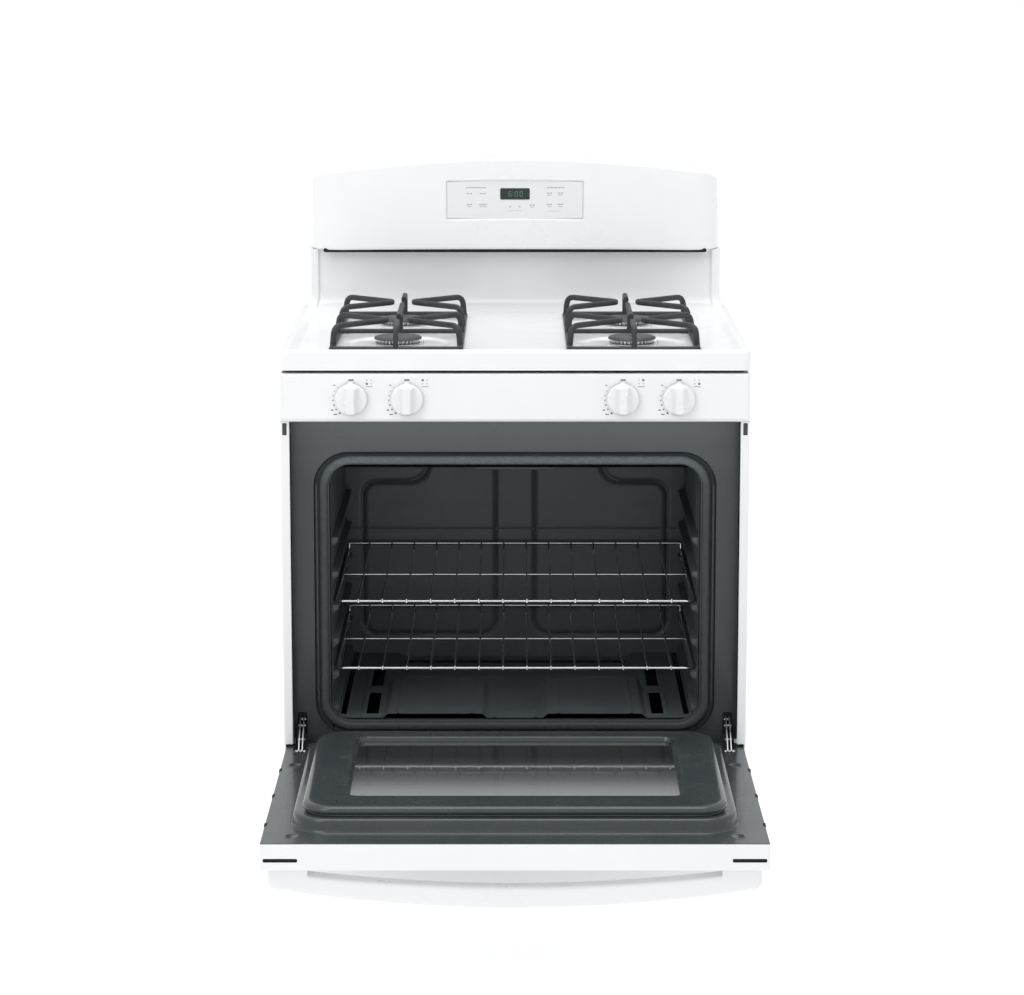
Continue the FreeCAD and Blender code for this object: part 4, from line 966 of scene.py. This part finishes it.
def sideWall(sign):
    # shelves that stand out below each rack position, a round end at the front and back, and a front bead
    y = np.unique(np.concatenate([np.linspace(cavity["front"], cavity["back"], 150),
                                  np.linspace(-246, -226, 14)]))
    z = np.unique(np.concatenate([np.linspace(215, cavity["high"], 120)]
                                 + [cavity["ribLow"] + step * cavity["ribPitch"] + np.linspace(-24, 2, 22)
                                    for step in range(6)]))
    ys, zs = np.meshgrid(y, z)
    stand = np.zeros_like(ys)
    for step in range(6):
        top = cavity["ribLow"] + step * cavity["ribPitch"] - 2.9
        along = blendStep(-243, -232, ys) * (1 - blendStep(206, 215, ys))
        shelf = blendStep(top - 20, top - 7, zs) * (1 - blendStep(top - 0.4, top + 0.4, zs))
        dimple = 1 - 0.55 * ridge(ys - 10, 60)
        filled = np.maximum(dimple, blendStep(top - 8, top - 5, zs))
        stand = np.maximum(stand, cavity["rib"] * along * shelf * filled)
    for beadY in (-250.0, -170.0, 150.0):
        stand = np.maximum(stand, 1.6 * ridge(ys - beadY, 2.4))
    xs = sign * (cavity["x"] - stand)
    return facing(gridPart(np.stack([xs, ys, zs], -1)), (-sign, 0, 0))


def backWall():
    # two large panels outlined by a pressed groove, and one long crease across the middle
    x = np.linspace(-cavity["x"], cavity["x"], 260)
    z = np.linspace(215, cavity["high"], 205)
    xs, zs = np.meshgrid(x, z)
    across = np.abs(xs)
    lower = roundBox(across, zs, (34, 273, 324, 604), 26)
    upper = roundBox(across, zs, (34, 154.8, 360, 900), 4)
    outline = np.where(across > 95, softUnion(lower, upper, 44), np.minimum(lower, upper))
    groove = 3.4 * ridge(outline, 2.6) + 1.5 * ridge(zs - cavity["bend"], 2.2)
    panel = -1.6 * (1 - blendStep(-9, -3, outline))
    return facing(gridPart(np.stack([xs, cavity["back"] + groove + panel - 1.2, zs], -1)), (0, -1, 0))


def ceiling():
    x = np.linspace(-cavity["x"], cavity["x"], 60)
    y = np.linspace(cavity["front"], cavity["back"], 50)
    xs, ys = np.meshgrid(x, y)
    rise = 2.0 * ridge(roundBox(xs, ys, (-230, 230, -200, 180), 40), 4)
    return facing(gridPart(np.stack([xs, ys, cavity["high"] - rise], -1)), (0, 0, -1))


def floorPanel():
    # raised lands beside a valley that fans out to the rear, and real slots above the burner
    slotBoxes = [(-198, 198, 167, 190), (-290, -281, -235, 208), (281, 290, -235, 208)]
    for side in (-1, 1):
        for y0, y1 in ((-32, 104), (-226, -83)):
            slotBoxes.append((min(side * 228, side * 248), max(side * 228, side * 248), y0, y1))
    xLines, yLines = [np.linspace(-cavity["x"], cavity["x"], 190)], [np.linspace(-254, 219, 150)]
    for x0, x1, y0, y1 in slotBoxes:
        xLines.append([x0, x0 + 3, x1 - 3, x1])
        yLines.append([y0, y0 + 3, y1 - 3, y1])
    x, y = np.unique(np.concatenate(xLines)), np.unique(np.concatenate(yLines))
    xs, ys = np.meshgrid(x, y)
    across = np.abs(xs)
    land = softUnion(roundBox(across, ys, (50, 205, -300, 10), 34),
                     roundBox(across, ys, (110, 205, -300, 22), 20), 40)
    height = 7.0 * (1 - blendStep(-5, 4, land)) + 1.6 * ridge(land + 22, 2.2)
    height += 1.6 * ridge(across - 34, 2.0) * (ys < -110)
    bowl = np.hypot(xs / 1.9, ys - 168) - 122
    height -= 7.0 * (1 - blendStep(-9, 3, bowl)) * (across < 205)
    for x0, x1, y0, y1 in slotBoxes[3:]:
        height += 1.8 * ridge(roundBox(xs, ys, (x0 - 5, x1 + 5, y0 - 5, y1 + 5), 6), 2.2)
    height += 7.0 * blendStep(258, 300, across) ** 2 * 0.5
    points, faces = gridPart(np.stack([xs, ys, cavity["low"] + 1.0 + height], -1))
    centres = points[faces].mean(1)
    keep = np.ones(len(faces), bool)
    for x0, x1, y0, y1 in slotBoxes:
        inside = (centres[:, 0] > x0) & (centres[:, 0] < x1) & (centres[:, 1] > y0) & (centres[:, 1] < y1)
        keep &= ~inside
    return facing((points, faces[keep]), (0, 0, 1))


wallParts = [("oven_side_wall_left", sideWall(-1), ["oven_left_wall"]),
             ("oven_side_wall_right", sideWall(1), ["oven_right_wall", "rack_guides"]),
             ("oven_rear_wall", backWall(), ["oven_back_wall"]), ("oven_roof", ceiling(), ["oven_ceiling"]),
             ("oven_floor_pressing", floorPanel(), ["oven_floor_panel"])]
for name, (points, faces), replaced in wallParts:
    addPiece(name, fromCabinet(points), faces, ovenEnamel, "cabinet", replaced, "grey_enamel", 60)


shade = [plainBox((-304, 304), (-256, 221), (214, 216))]
addPiece("burner_box_shade", *joinParts(shade), paintedShadeBlack, "cabinet", ["burner_box_pan"], "grey_enamel", 30)

# flame spreader over the broil burner, and lamp cover
spreader = [ringXY(inset((-75, 75, -160, 200), grow), 12, z) for grow, z in
            ((0, 706), (0, 697), (1.5, 692), (5, 690.2), (40, 692.5))]
addPiece("broil_spreader", *outward(loft(spreader, True, True)), ovenEnamel, "cabinet", ["broil_burner"],
         "grey_enamel", 45)
dome = [(32, 0)] + [(32 * math.cos(t), 8 + 16 * math.sin(t)) for t in np.linspace(0, 1.5, 14)]
lampPoints, lampFaces = revolve(dome, at(250, 220, 665), "y", 48)
addPiece("lamp_dome", lampPoints, lampFaces, lampGlass, "cabinet", ["oven_lamp_cover"], "lamp_glass", 60)
print("oven liner")

# racks: a perimeter rod bent round the corners, fore-and-aft wires hooked over the front, a raised rear stop
rack = {"half": 297.0, "front": -220.0, "rear": 205.0, "rod": 2.6, "wire": 1.65, "count": 14, "pitch": 40.0,
        "lift": 3.2, "stop": 14.0, "bend": 14.0}


def rackParts(height):
    half, front, rear = rack["half"], rack["front"], rack["rear"]
    parts = []
    frontBar = roundedPath([(-half, front + 60, height), (-half, front, height), (half, front, height),
                            (half, front + 60, height)], rack["bend"], 9)
    parts.append(sweep(fromCabinet(frontBar), roundSection(rack["rod"] * 0.001, 14)))
    for x in (-half, half):
        rail = [(x, front + 60, height), (x, rear, height), (x, rear, height + rack["stop"])]
        parts.append(sweep(fromCabinet(roundedPath(rail, 8, 7)), roundSection(rack["rod"] * 0.00096, 14)))
        hook = [(x, 60, height), (x * 0.985, 90, height + 0.5), (x * 0.985, 130, height + 0.5)]
        parts.append(sweep(fromCabinet(roundedPath(hook, 6, 5)), roundSection(rack["rod"] * 0.0009, 12)))
    for y, z, radius in ((0, height - 0.4, 1.9), (rear, height + rack["stop"], 2.3)):
        bar = np.array([(-half, y, z), (half, y, z)], float)
        parts.append(sweep(fromCabinet(np.linspace(bar[0], bar[1], 12)), roundSection(radius * 0.001, 12)))
    for number in range(rack["count"]):
        x = (number - (rack["count"] - 1) / 2) * rack["pitch"]
        top = height + rack["lift"] + 0.9
        wire = [(x, front - 3.6, height - 1.8), (x, front - 3.6, top), (x, rear - 8, top),
                (x, rear - 2.6, height + rack["stop"] + 1)]
        parts.append(sweep(fromCabinet(roundedPath(wire, 3.2, 6)), roundSection(rack["wire"] * 0.001, 10)))
    return joinParts(parts)


for name, height in (("lower_rack", 366.0), ("upper_rack", 480.0)):
    addPiece(name + "_wires", *rackParts(height), chromeWire, name, [name], "chrome_wire", 60)
print("racks")

# door: a folded outer skin, a two-tier pressed liner, screws and a bowed handle
door = {"half": 376.4, "tip": -860.9, "heel": -283.1, "under": 212.6, "rim": 253.0, "face": 254.2,
        "roll": 3.0,
        "glassHalf": 229.5, "glassFar": -744.5, "glassNear": -480.5, "notch": (341.0, 363.0, -350.5, 235.0),
        "slot": (321.0, 372.0, 225.3, 231.1)}


def cutAway(name, part, cutters):
    # takes closed shapes away from a closed shell
    def asObject(label, points, faces):
        mesh = bpy.data.meshes.new(label)
        mesh.from_pydata([tuple(p) for p in points], [], [tuple(f) for f in faces])
        holder = bpy.data.objects.new(label, mesh)
        bpy.context.scene.collection.objects.link(holder)
        return holder

    base = asObject(name, *part)
    tool = asObject(name + "_tool", *joinParts(cutters))
    modifier = base.modifiers.new("cut", "BOOLEAN")
    modifier.object = tool
    modifier.solver = "EXACT"
    graph = bpy.context.evaluated_depsgraph_get()
    mesh = bpy.data.meshes.new_from_object(base.evaluated_get(graph))
    for holder in (base, tool):
        bpy.data.objects.remove(holder)
    return mesh


def skinShell():
    # rings run from inside the rim, over its edge, down the sides, round the roll and across to the glass
    box = (-door["half"], door["half"], door["tip"], door["heel"])
    glass = (-door["glassHalf"], door["glassHalf"], door["glassFar"], door["glassNear"])
    rings = []
    for amount, z in ((1.2, door["under"] + 1.4), (1.2, door["rim"] - 0.2), (1.0, door["rim"]),
                      (0.5, door["rim"] + 0.1), (0.1, door["rim"] - 0.1), (0.0, door["rim"] - 0.6)):
        rings.append(ringXY(inset(box, amount), max(3.5 - amount, 1.5), z, 8, 8))
    for angle in np.radians(np.linspace(0, 90, 8)):
        spare = door["roll"] * (1 - math.cos(angle))
        z = door["under"] + door["roll"] * (1 - math.sin(angle))
        rings.append(ringXY(inset(box, spare), 3.5, z, 8, 8))
    for amount, z in ((-1.5, door["under"]), (-0.4, door["under"] + 0.3), (0.0, door["under"] + 1.4)):
        rings.append(ringXY(inset(glass, amount), 8, z, 8, 8))
    rings.append(rings[0])
    return outward(loft(rings))


cutters = []
for side in (-1, 1):
    x0, x1, y0, z0 = door["notch"]
    cutters.append(plainBox(sorted((side * x0, side * x1)), (y0, door["heel"] + 3), (z0, door["rim"] + 3)))
    x0, x1, z0, z1 = door["slot"]
    ends = sorted((side * x0, side * x1))
    slotRings = [ringXZ((ends[0], ends[1], z0, z1), 2.1, y, 6, 2) for y in (door["tip"] - 3, door["tip"] + 4)]
    cutters.append(outward(loft(slotRings, True, True)))
mesh = cutAway("door_skin", skinShell(), cutters)
place("door_skin_pressing", mesh, whiteEnamel, "oven_door", ["door_outer_skin"], "white_enamel", 40)
# painted shade: black blocks just inside the two slots in the door's front edge, standing for the shade
# within them
doorSlotShades = [plainBox((side * 346 - 27, side * 346 + 27), (door["tip"] + 2.2, door["tip"] + 5), (224, 232.5))
         for side in (-1, 1)]
addPiece("door_slot_shade", *joinParts(doorSlotShades), paintedShadeBlack, "oven_door", (), "display", 30)

liner = {"border": (-375.9, 375.9, -860.4, -283.6), "foot": (-338.5, 338.5, -811.0, -321.5),
         "footRadius": 62.0, "low": (-336.0, 336.0, -807.0, -325.0), "high": (-320.0, 320.0, -795.0, -337.0),
         "window": (-255.5, 255.5, -725.0, -379.0)}
x0, x1, y0, y1 = liner["border"]
notchIn, notchOut, notchY, _ = door["notch"]
borderLoop = [(x0, y0), (x1, y0), (x1, y1), (notchOut, y1), (notchOut, notchY), (notchIn, notchY),
              (notchIn, y1),
              (-notchIn, y1), (-notchIn, notchY), (-notchOut, notchY), (-notchOut, y1), (x0, y1)]
fx0, fx1, fy0, fy1 = liner["foot"]
footLoop = rectLoop(fx0, fx1, fy0, fy1, liner["footRadius"], 14)
borderMesh = plate([borderLoop, footLoop], 1.2, 0.3, "top", at(0, 0, door["face"]))
rings = []
for box, amount, radius, z in (
        (liner["foot"], 0.2, 62, 253.9), (liner["foot"], 1.2, 61, 254.5), (liner["foot"], 2.6, 60, 256.5),
        (liner["low"], 0.6, 58, 260), (liner["low"], 1.8, 57, 269.5), (liner["low"], 3.0, 56, 272.6),
        (liner["low"], 5.2, 54, 274.4), (liner["low"], 8.5, 52, 275.0), (liner["high"], 3.2, 45, 275.2),
        (liner["high"], 5.4, 43, 275.9), (liner["high"], 5.6, 43, 277.2), (liner["high"], 3.4, 44, 278.4),
        (liner["high"], 1.0, 45, 280.4), (liner["high"], 0.0, 46, 283.2), (liner["high"], 0.6, 46, 286.0),
        (liner["high"], 2.6, 45, 288.6), (liner["high"], 6.0, 44, 290.3), (liner["high"], 10.5, 42, 290.9),
        (liner["high"], 15.0, 40, 290.7), (liner["high"], 18.0, 38, 290.1),
        (liner["window"], -9.0, 26, 290.1),
        (liner["window"], -3.5, 21, 290.0), (liner["window"], -1.2, 19, 289.2),
        (liner["window"], -0.2, 18, 287.4),
        (liner["window"], 1.8, 16, 283.0), (liner["window"], 4.0, 14, 282.2)):
    rings.append(ringXY(inset(box, amount), radius, z, 16, 8))
tiers = splitQuads(facing(loft(rings), (0, 0, 1)))
bosses = []
bossSpots = [(331, -823), (-331, -823), (354, -423), (-354, -423)]
bossShape = [(12.4, 0), (11.6, 0.7), (10.4, 1.0), (9.0, 0.7), (7.6, 0.15), (0.05, 0.1)]
for x, y in bossSpots:
    bosses.append(splitQuads(revolve(bossShape, at(x, y, door["face"] - 0.02), "z", 40)))
points, faces = joinParts([meshPart(borderMesh), tiers] + bosses)
addPiece("door_liner_pressing", points, faces, linerEnamel, "oven_door", ["door_liner"], "grey_enamel", 42)

# painted shade: black blocks set in the door's side edges, standing for the shaded openings of its vents
edgeVentShades = []
for side in (-1, 1):
    for y in (-761.0, -602.0, -452.0):
        x = side * 375.0
        edgeVentShades.append(plainBox((x - 2.1, x + 2.1), (y - 8, y + 8), (250.6, door["face"] + 0.25)))
addPiece("door_edge_vent_shade", *joinParts(edgeVentShades), paintedShadeBlack, "oven_door", (), "display", 30)
screws = [screwHead(at(x, y, door["face"] + 0.1), 0.0046) for x, y in bossSpots]
addPiece("door_liner_screws", *joinParts(screws), darkTrim, "oven_door", ["door_screws"], "grey_enamel", 40)

handle = {"half": 366.0, "block": 307.0, "near": -846.0, "depth": 30.0, "drop": 32.0, "bow": 30.0,
          "gapEnd": 12.0, "gapMiddle": 31.0}


def handlePart():
    # sections along the bar: its lower edge and the finger gap both bow away from the door between end blocks
    x = np.unique(np.concatenate([np.linspace(-handle["half"], handle["half"], 140),
                                  [-handle["block"] - 0.1, -handle["block"], handle["block"],
                                   handle["block"] + 0.1]]))
    share = 1 - (x / handle["half"]) ** 2
    low = door["under"] - handle["drop"] - handle["bow"] * share
    gapShare = np.clip(1 - (x / handle["block"]) ** 2, 0, 1)
    gapTop = door["under"] - handle["gapEnd"] - (handle["gapMiddle"] - handle["gapEnd"]) * gapShare
    high = np.where(np.abs(x) > handle["block"], door["under"] + 0.2, gapTop)
    endPull = np.clip(1 - (handle["half"] - np.abs(x)) / 6, 0, 1)
    tuck = 6 * (1 - np.sqrt(np.clip(1 - endPull**2, 0, 1)))
    near, far = handle["near"] + tuck * 0.7, handle["near"] + handle["depth"] - tuck * 0.4
    low = low + tuck
    rows = []
    outline = roundRect(0.5, 0.5, 0.16, 7, 5)
    for u, v in outline:
        rows.append(np.stack([x, (near + far) / 2 + u * (far - near), (low + high) / 2 + v * (high - low)],
                             -1))
    grid = np.stack(rows, 1)
    parts = [gridPart(grid, True), capFan(grid[0], True), capFan(grid[-1], False)]
    return outward(joinParts(parts))


points, faces = handlePart()
addPiece("door_handle_bar", fromCabinet(points), faces, whiteMoulding, "oven_door", ["door_handle"],
         "white_plastic", 50)
print("door")

# hinges: a slotted arm from each frame slot, with its rivets, in a channel let into the door
hinge = {"x": 352.0, "y": -316.5, "z": 247.5}
armOutline = [(-250, 268), (-250, 294), (-270, 294), (-300, 273), (-324, 252), (-323, 243), (-315, 240),
              (-290, 253), (-268, 267)]
armParts, channelParts = [], []
for side in (-1, 1):
    x = side * hinge["x"]
    slotLoop = circleLoop(-282, 271, 2.4, 16)
    armMesh = plate([armOutline, slotLoop, circleLoop(-266, 284, 2.2, 16)], 2.2, 0.3, "right",
                    at(x + 4, 0, 0))
    armParts.append(meshPart(armMesh))
    armMesh = plate([armOutline, slotLoop], 2.2, 0.3, "right", at(x - 1.8, 0, 0))
    armParts.append(meshPart(armMesh))
    for y, z, radius, reach in ((hinge["y"], hinge["z"], 3.9, 9.5), (-296, 263, 2.6, 6.4),
                                (-274, 281, 2.6, 6.4), (-259, 288, 2.4, 6.0)):
        rivet = [(0.05, -reach), (radius * 0.7, -reach), (radius, -reach + 0.9), (radius, reach - 0.9),
                 (radius * 0.7, reach), (0.05, reach)]
        points, faces = revolve(rivet, (0, 0, 0), "z", 20)
        armParts.append(splitQuads(outward((points[:, [2, 0, 1]] + at(x, y, z), faces))))
    for offset in (-9.5, 9.5):
        cheek = [(-349.5, 236), (-349.5, 253.6), (-291, 253.6), (-291, 236)]
        channelParts.append(meshPart(plate([cheek], 1.8, 0.3, "right", at(x + offset + 0.9, 0, 0))))
    bedLoop = rectLoop(x - 10.4, x + 10.4, -349.5, -291, 1)
    channelParts.append(meshPart(plate([bedLoop], 1.6, 0.3, "top", at(0, 0, 237.2))))
addPiece("door_hinge_levers", *joinParts(armParts), steelScrew, "cabinet", ["door_hinge_arms"],
         "galvanised", 40)
addPiece("door_hinge_channels", *joinParts(channelParts), steelScrew, "oven_door", ["door_hinge_boxes"],
         "galvanised", 40)

# side panels: folded sheets with a rolled front edge, a flange whose slots are dark plates of painted shade,
# and a stiffening bead
side = {"x": 380.0, "flange": -306.0, "inner": 366.0, "back": 320.0, "foot": 30.0, "top": 873.0, "roll": 2.5}


def sidePanel(sign):
    # one sheet carried round its front fold, rows climbing the side, the flange left out beside the door
    z = np.unique(np.concatenate([np.linspace(side["foot"], 196, 20), [196.1, 258.0, 258.1],
                                  np.linspace(260, 795, 60), [795.1], np.linspace(800, side["top"], 10)]))
    turn = np.radians(np.linspace(90, 0, 9))
    foldX = side["x"] - side["roll"] + side["roll"] * np.cos(turn)
    foldY = side["flange"] + side["roll"] - side["roll"] * np.sin(turn)
    flangeX = np.linspace(side["inner"], side["x"] - side["roll"], 10)
    sideY = np.linspace(side["flange"] + side["roll"], side["back"], 70)[1:]
    x = np.concatenate([flangeX[:-1], foldX, np.full(len(sideY), side["x"])])
    y = np.concatenate([np.full(len(flangeX) - 1, side["flange"]), foldY, sideY])
    xs, zs = np.meshgrid(x, z)
    ys, _ = np.meshgrid(y, z)
    bead = roundBox(ys, zs, (-230, 250, 120, 780), 40)
    xs = xs - 1.1 * ridge(bead, 4.0) * (ys > side["flange"] + 20)
    points, faces = gridPart(np.stack([sign * xs, ys, zs], -1))
    centres = points[faces].mean(1)
    onFlange = np.abs(centres[:, 0]) < side["x"] - side["roll"]
    besideDoor = (centres[:, 2] > 196.05) & (centres[:, 2] < 258.05)
    panelFront = (centres[:, 2] > 795.05) & (centres[:, 1] < -262.5)
    keep = ~(onFlange & besideDoor) & ~panelFront
    sheet = facing((points, faces[keep]), (sign, 0, 0))
    return thicken(sheet, 0.8, (-sign, 1, 0))


for label, sign in (("left", -1), ("right", 1)):
    points, faces = sidePanel(sign)
    addPiece(label + "_side_sheet", fromCabinet(points), faces, whiteEnamel, "cabinet",
             [label + "_side_panel"], "white_enamel", 40)
# painted shade: thin dark plates on each side flange standing for the shaded slot openings
slotShadeMarks = [rectLoop(sign * 373 - 3.6, sign * 373 + 3.6, 773, 793, 1.5) for sign in (-1, 1)]
place("side_flange_slot_shade", plate(slotShadeMarks, 0.4, 0.1, "front", at(0, side["flange"] - 0.1, 0)), darkTrim,
      "cabinet", (), "grey_enamel")
print("hinges and side panels")

# drawer: a folded front with rounded edges and a finger slot, and a tray with a rolled rim
drawer = {"half": 376.3, "front": -351.8, "back": -312.0, "low": 32.2, "high": 194.8, "round": 4.0,
          "pull": (-150.0, 150.0, -342.0, -318.0)}


def drawerFront():
    box = (-drawer["half"], drawer["half"], drawer["low"], drawer["high"])
    rings = [ringXZ(box, 3, drawer["back"], 8, 10), ringXZ(box, 3, drawer["front"] + drawer["round"], 8, 10)]
    for angle in np.radians(np.linspace(10, 90, 9)):
        spare = drawer["round"] * (1 - math.cos(angle))
        y = drawer["front"] + drawer["round"] * (1 - math.sin(angle))
        rings.append(ringXZ(inset(box, spare), 3, y, 8, 10))
    rings.append(ringXZ(inset(box, 14), 3, drawer["front"], 8, 10))
    shell = outward(loft(rings, True, True))
    x0, x1, y0, y1 = drawer["pull"]
    pocket = [ringXY((x0, x1, y0, y1), 9, z, 8, 6) for z in (drawer["high"] - 16, drawer["high"] + 3)]
    return cutAway("drawer_face", shell, [outward(loft(pocket, True, True))])


place("drawer_face_pressing", drawerFront(), whiteEnamel, "storage_drawer", ["drawer_front"],
      "white_enamel", 40)
tray = (-330.0, 330.0, -310.6, 180.0)
rings = [ringXY(inset(tray, 9), 6, 50.2, 8, 6), ringXY(inset(tray, 3), 9, 50.2, 8, 6),
         ringXY(inset(tray, 0.6), 9, 52.5, 8, 6),
         ringXY(tray, 9, 58, 8, 6), ringXY(tray, 9, 170.8, 8, 6), ringXY(inset(tray, 0.8), 8, 171.9, 8, 6),
         ringXY(inset(tray, 2.2), 8, 171.6, 8, 6), ringXY(inset(tray, 2.2), 8, 56, 8, 6),
         ringXY(inset(tray, 4.4), 8, 51.8, 8, 6), ringXY(inset(tray, 12), 6, 51.4, 8, 6)]
trayShell = outward(loft(rings, True, True))
runners = [plainBox(sorted((sign * 330, sign * 336)), (-300, 180), (100, 108)) for sign in (-1, 1)]
addPiece("drawer_tray", *joinParts([trayShell] + runners), zincSheet, "storage_drawer", ["drawer_box"],
         "galvanised", 40)

# rear: a panel with pressed stiffeners and vent louvres, and the feet
rear = {"y": 320.0, "half": 378.8, "low": 40.0, "shoulder": 878.5, "neck": 360.5, "high": 1136.0}


def rearPanel():
    x = np.linspace(-rear["half"], rear["half"], 150)
    z = np.unique(np.concatenate([np.linspace(rear["low"], rear["shoulder"], 240),
                                  np.linspace(rear["shoulder"] + 0.1, rear["high"], 50)]))
    xs, zs = np.meshgrid(x, z)
    bead = ridge(roundBox(xs, zs, (-330, 330, 180, 640), 40),
                 5) + ridge(roundBox(xs, zs, (-280, 280, 235, 585), 30), 5)
    depth = -1.6 * bead
    for row in range(7):
        height = 700 + row * 18
        mouth = (np.abs(xs) > 60) & (np.abs(xs) < 260)
        depth = depth - 2.2 * ridge(zs - height, 4) * mouth
    points, faces = gridPart(np.stack([xs, rear["y"] + depth - 0.2, zs], -1))
    centres = points[faces].mean(1)
    beyondNeck = (centres[:, 2] > rear["shoulder"]) & (np.abs(centres[:, 0]) > rear["neck"])
    inlet = np.hypot(centres[:, 0] - 340, centres[:, 2] - 80) < 25
    return thicken(facing((points, faces[~beyondNeck & ~inlet]), (0, 1, 0)), 1.0, (0, -1, 0))


points, faces = rearPanel()
addPiece("rear_sheet", fromCabinet(points), faces, zincSheet, "cabinet", ["back_panel"], "galvanised", 40)
rearScrews = []
for x in (-368, -120, 120, 368):
    for z in (60, 460, 860):
        points, faces = screwHead((0, 0, 0), 0.0045, "y")
        rearScrews.append((points * np.array([-1, -1, 1]) + at(x, 320.0, z), faces))
rearScrews = [outward(part) for part in rearScrews]
addPiece("rear_screws", *joinParts(rearScrews), steelScrew, "cabinet", (), "chrome_wire", 40)

footParts = []
footProfile = [(0.05, 0), (17, 0), (19.4, 0.8), (20, 2.6), (20, 7.0), (18.5, 9.4), (12, 11.5), (9, 15),
               (9, 20), (6, 20.5), (6, 30), (0.05, 30)]
for x in (-345, 345):
    for y in (-190, 290):
        footParts.append(revolve(footProfile, at(x, y, 0), "z", 40))
addPiece("levelling_foot_pads", *joinParts(footParts), softRubber, "cabinet", ["levelling_feet"],
         "black_rubber", 35)
print("drawer, rear and feet")

# painted light: soft fades of the pane along its depth, and of the front enamel and the braid with height,
# lighter towards the top
def paintLightRamp(material, axis, start, end, stops):
    # paints light and shade into the colour: multiplies the base colour by a ramp that runs along one axis
    # between two places
    tree = material.node_tree
    shader = tree.nodes["Principled BSDF"]
    source = shader.inputs["Base Color"].links[0].from_socket
    position = tree.nodes.new("ShaderNodeTexCoord")
    split = tree.nodes.new("ShaderNodeSeparateXYZ")
    tree.links.new(position.outputs["Object"], split.inputs["Vector"])
    span = tree.nodes.new("ShaderNodeMapRange")
    span.inputs["From Min"].default_value = float(start)
    span.inputs["From Max"].default_value = float(end)
    tree.links.new(split.outputs[axis], span.inputs["Value"])
    mix = tree.nodes.new("ShaderNodeMix")
    mix.data_type = "RGBA"
    mix.blend_type = "MULTIPLY"
    mix.inputs["Factor"].default_value = 1.0
    tree.links.new(source, mix.inputs["A"])
    tree.links.new(ramp(tree, span.outputs["Result"], [(t, (level,) * 3) for t, level in stops]),
                   mix.inputs["B"])
    tree.links.new(mix.outputs["Result"], shader.inputs["Base Color"])


# painted light: the inner pane bright towards the door's free edge and dark towards the hinge, standing in
# for light seen through the glass
paintLightRamp(windowGlass, "Y", at(0, -725, 0)[1], at(0, -470, 0)[1],
     [(0.0, 1.0), (0.22, 0.83), (0.45, 0.40), (0.62, 0.20), (1.0, 0.065)])
# painted reflection: the oven front enamel lighter towards the top
paintLightRamp(frameEnamel, "Z", 0.2, 0.8, [(0.0, 0.52), (0.58, 0.48), (0.82, 0.55), (0.91, 0.69), (0.97, 1.0)])
# painted reflection: the gasket braid lighter towards the top
paintLightRamp(braid, "Z", 0.6, 0.74, [(0.0, 0.38), (0.6, 0.48), (0.9, 1.0)])

# finishes for the remaining sub-parts
finishes = {
    "power_cord_gland": softRubber, "base_frame": zincSheet, "oven_insulation": mineralWool,
    "bake_burner": zincSheet, "bake_igniter": ceramicBody, "temperature_sensor": steelScrew,
    "oven_lamp": lampGlass, "gas_manifold": zincSheet, "burner_valve_bodies": castAluminium,
    "burner_gas_tubes": zincSheet, "clock_board": circuitBoard, "gas_regulator": castAluminium,
    "gas_supply_pipe": zincSheet, "drawer_guides": zincSheet, "door_inner_glass": windowGlass,
    "door_outer_glass": ovenGlass,
}
for name, material in finishes.items():
    nodes[name].data.materials.clear()
    nodes[name].data.materials.append(material)

# stage, light and camera
studio = {"floorSize": 160, "floorGlow": 0.82, "sky": 0.8, "eye": (0.0, -5.360, 1.598), "lookDown": 9.47,
          "lens": 111.24, "shift": (-0.0029, -0.05)}
lights = [
    ("key", (-2.2, -2.6, 3.2), (0, 0, 0.7), (1.6, 1.6), 26),
    ("overhead", (0.0, -0.3, 4.0), (0, 0, 0.9), (3.0, 3.0), 66),
    ("low", (0, -4.0, 0.22), (0, 0, 0.75), (2.4, 0.4), 2),
]
floorMaterial = finishMaterial("studioFloor", (0.34, 0.34, 0.34), (0.36, 0.36, 0.36), (0.7, 0.8), bump=0.0,
                               specular=0.1, glow=((1.0, 1.0, 1.0), studio["floorGlow"]))
bpy.ops.mesh.primitive_plane_add(size=studio["floorSize"])
floorPlane = bpy.context.object
floorPlane.name = "studio_floor"
floorPlane.data.materials.append(floorMaterial)
world = bpy.data.worlds.new("studio")
bpy.context.scene.world = world
world.use_nodes = True
world.node_tree.nodes["Background"].inputs["Color"].default_value = (1, 1, 1, 1)
world.node_tree.nodes["Background"].inputs["Strength"].default_value = studio["sky"]


def areaLight(name, place, target, size, power):
    light = bpy.data.lights.new(name, "AREA")
    light.shape = "RECTANGLE"
    light.size, light.size_y = size
    light.energy = power
    holder = bpy.data.objects.new(name, light)
    bpy.context.scene.collection.objects.link(holder)
    holder.location = place
    holder.rotation_euler = (Vector(target) - Vector(place)).to_track_quat("-Z", "Y").to_euler()


for light in lights:
    areaLight(*light)
bpy.context.scene.view_settings.view_transform = "Standard"
camera = bpy.data.cameras.new("camera")
cameraObject = bpy.data.objects.new("camera", camera)
bpy.context.scene.collection.objects.link(cameraObject)
bpy.context.scene.camera = cameraObject
eyeX, eyeY, eyeZ = studio["eye"]
cameraObject.location = (eyeX, eyeY + cabinetY, eyeZ)
camera.lens = studio["lens"]
camera.shift_x, camera.shift_y = studio["shift"]
cameraObject.rotation_euler = (math.radians(90 - studio["lookDown"]), 0, 0)
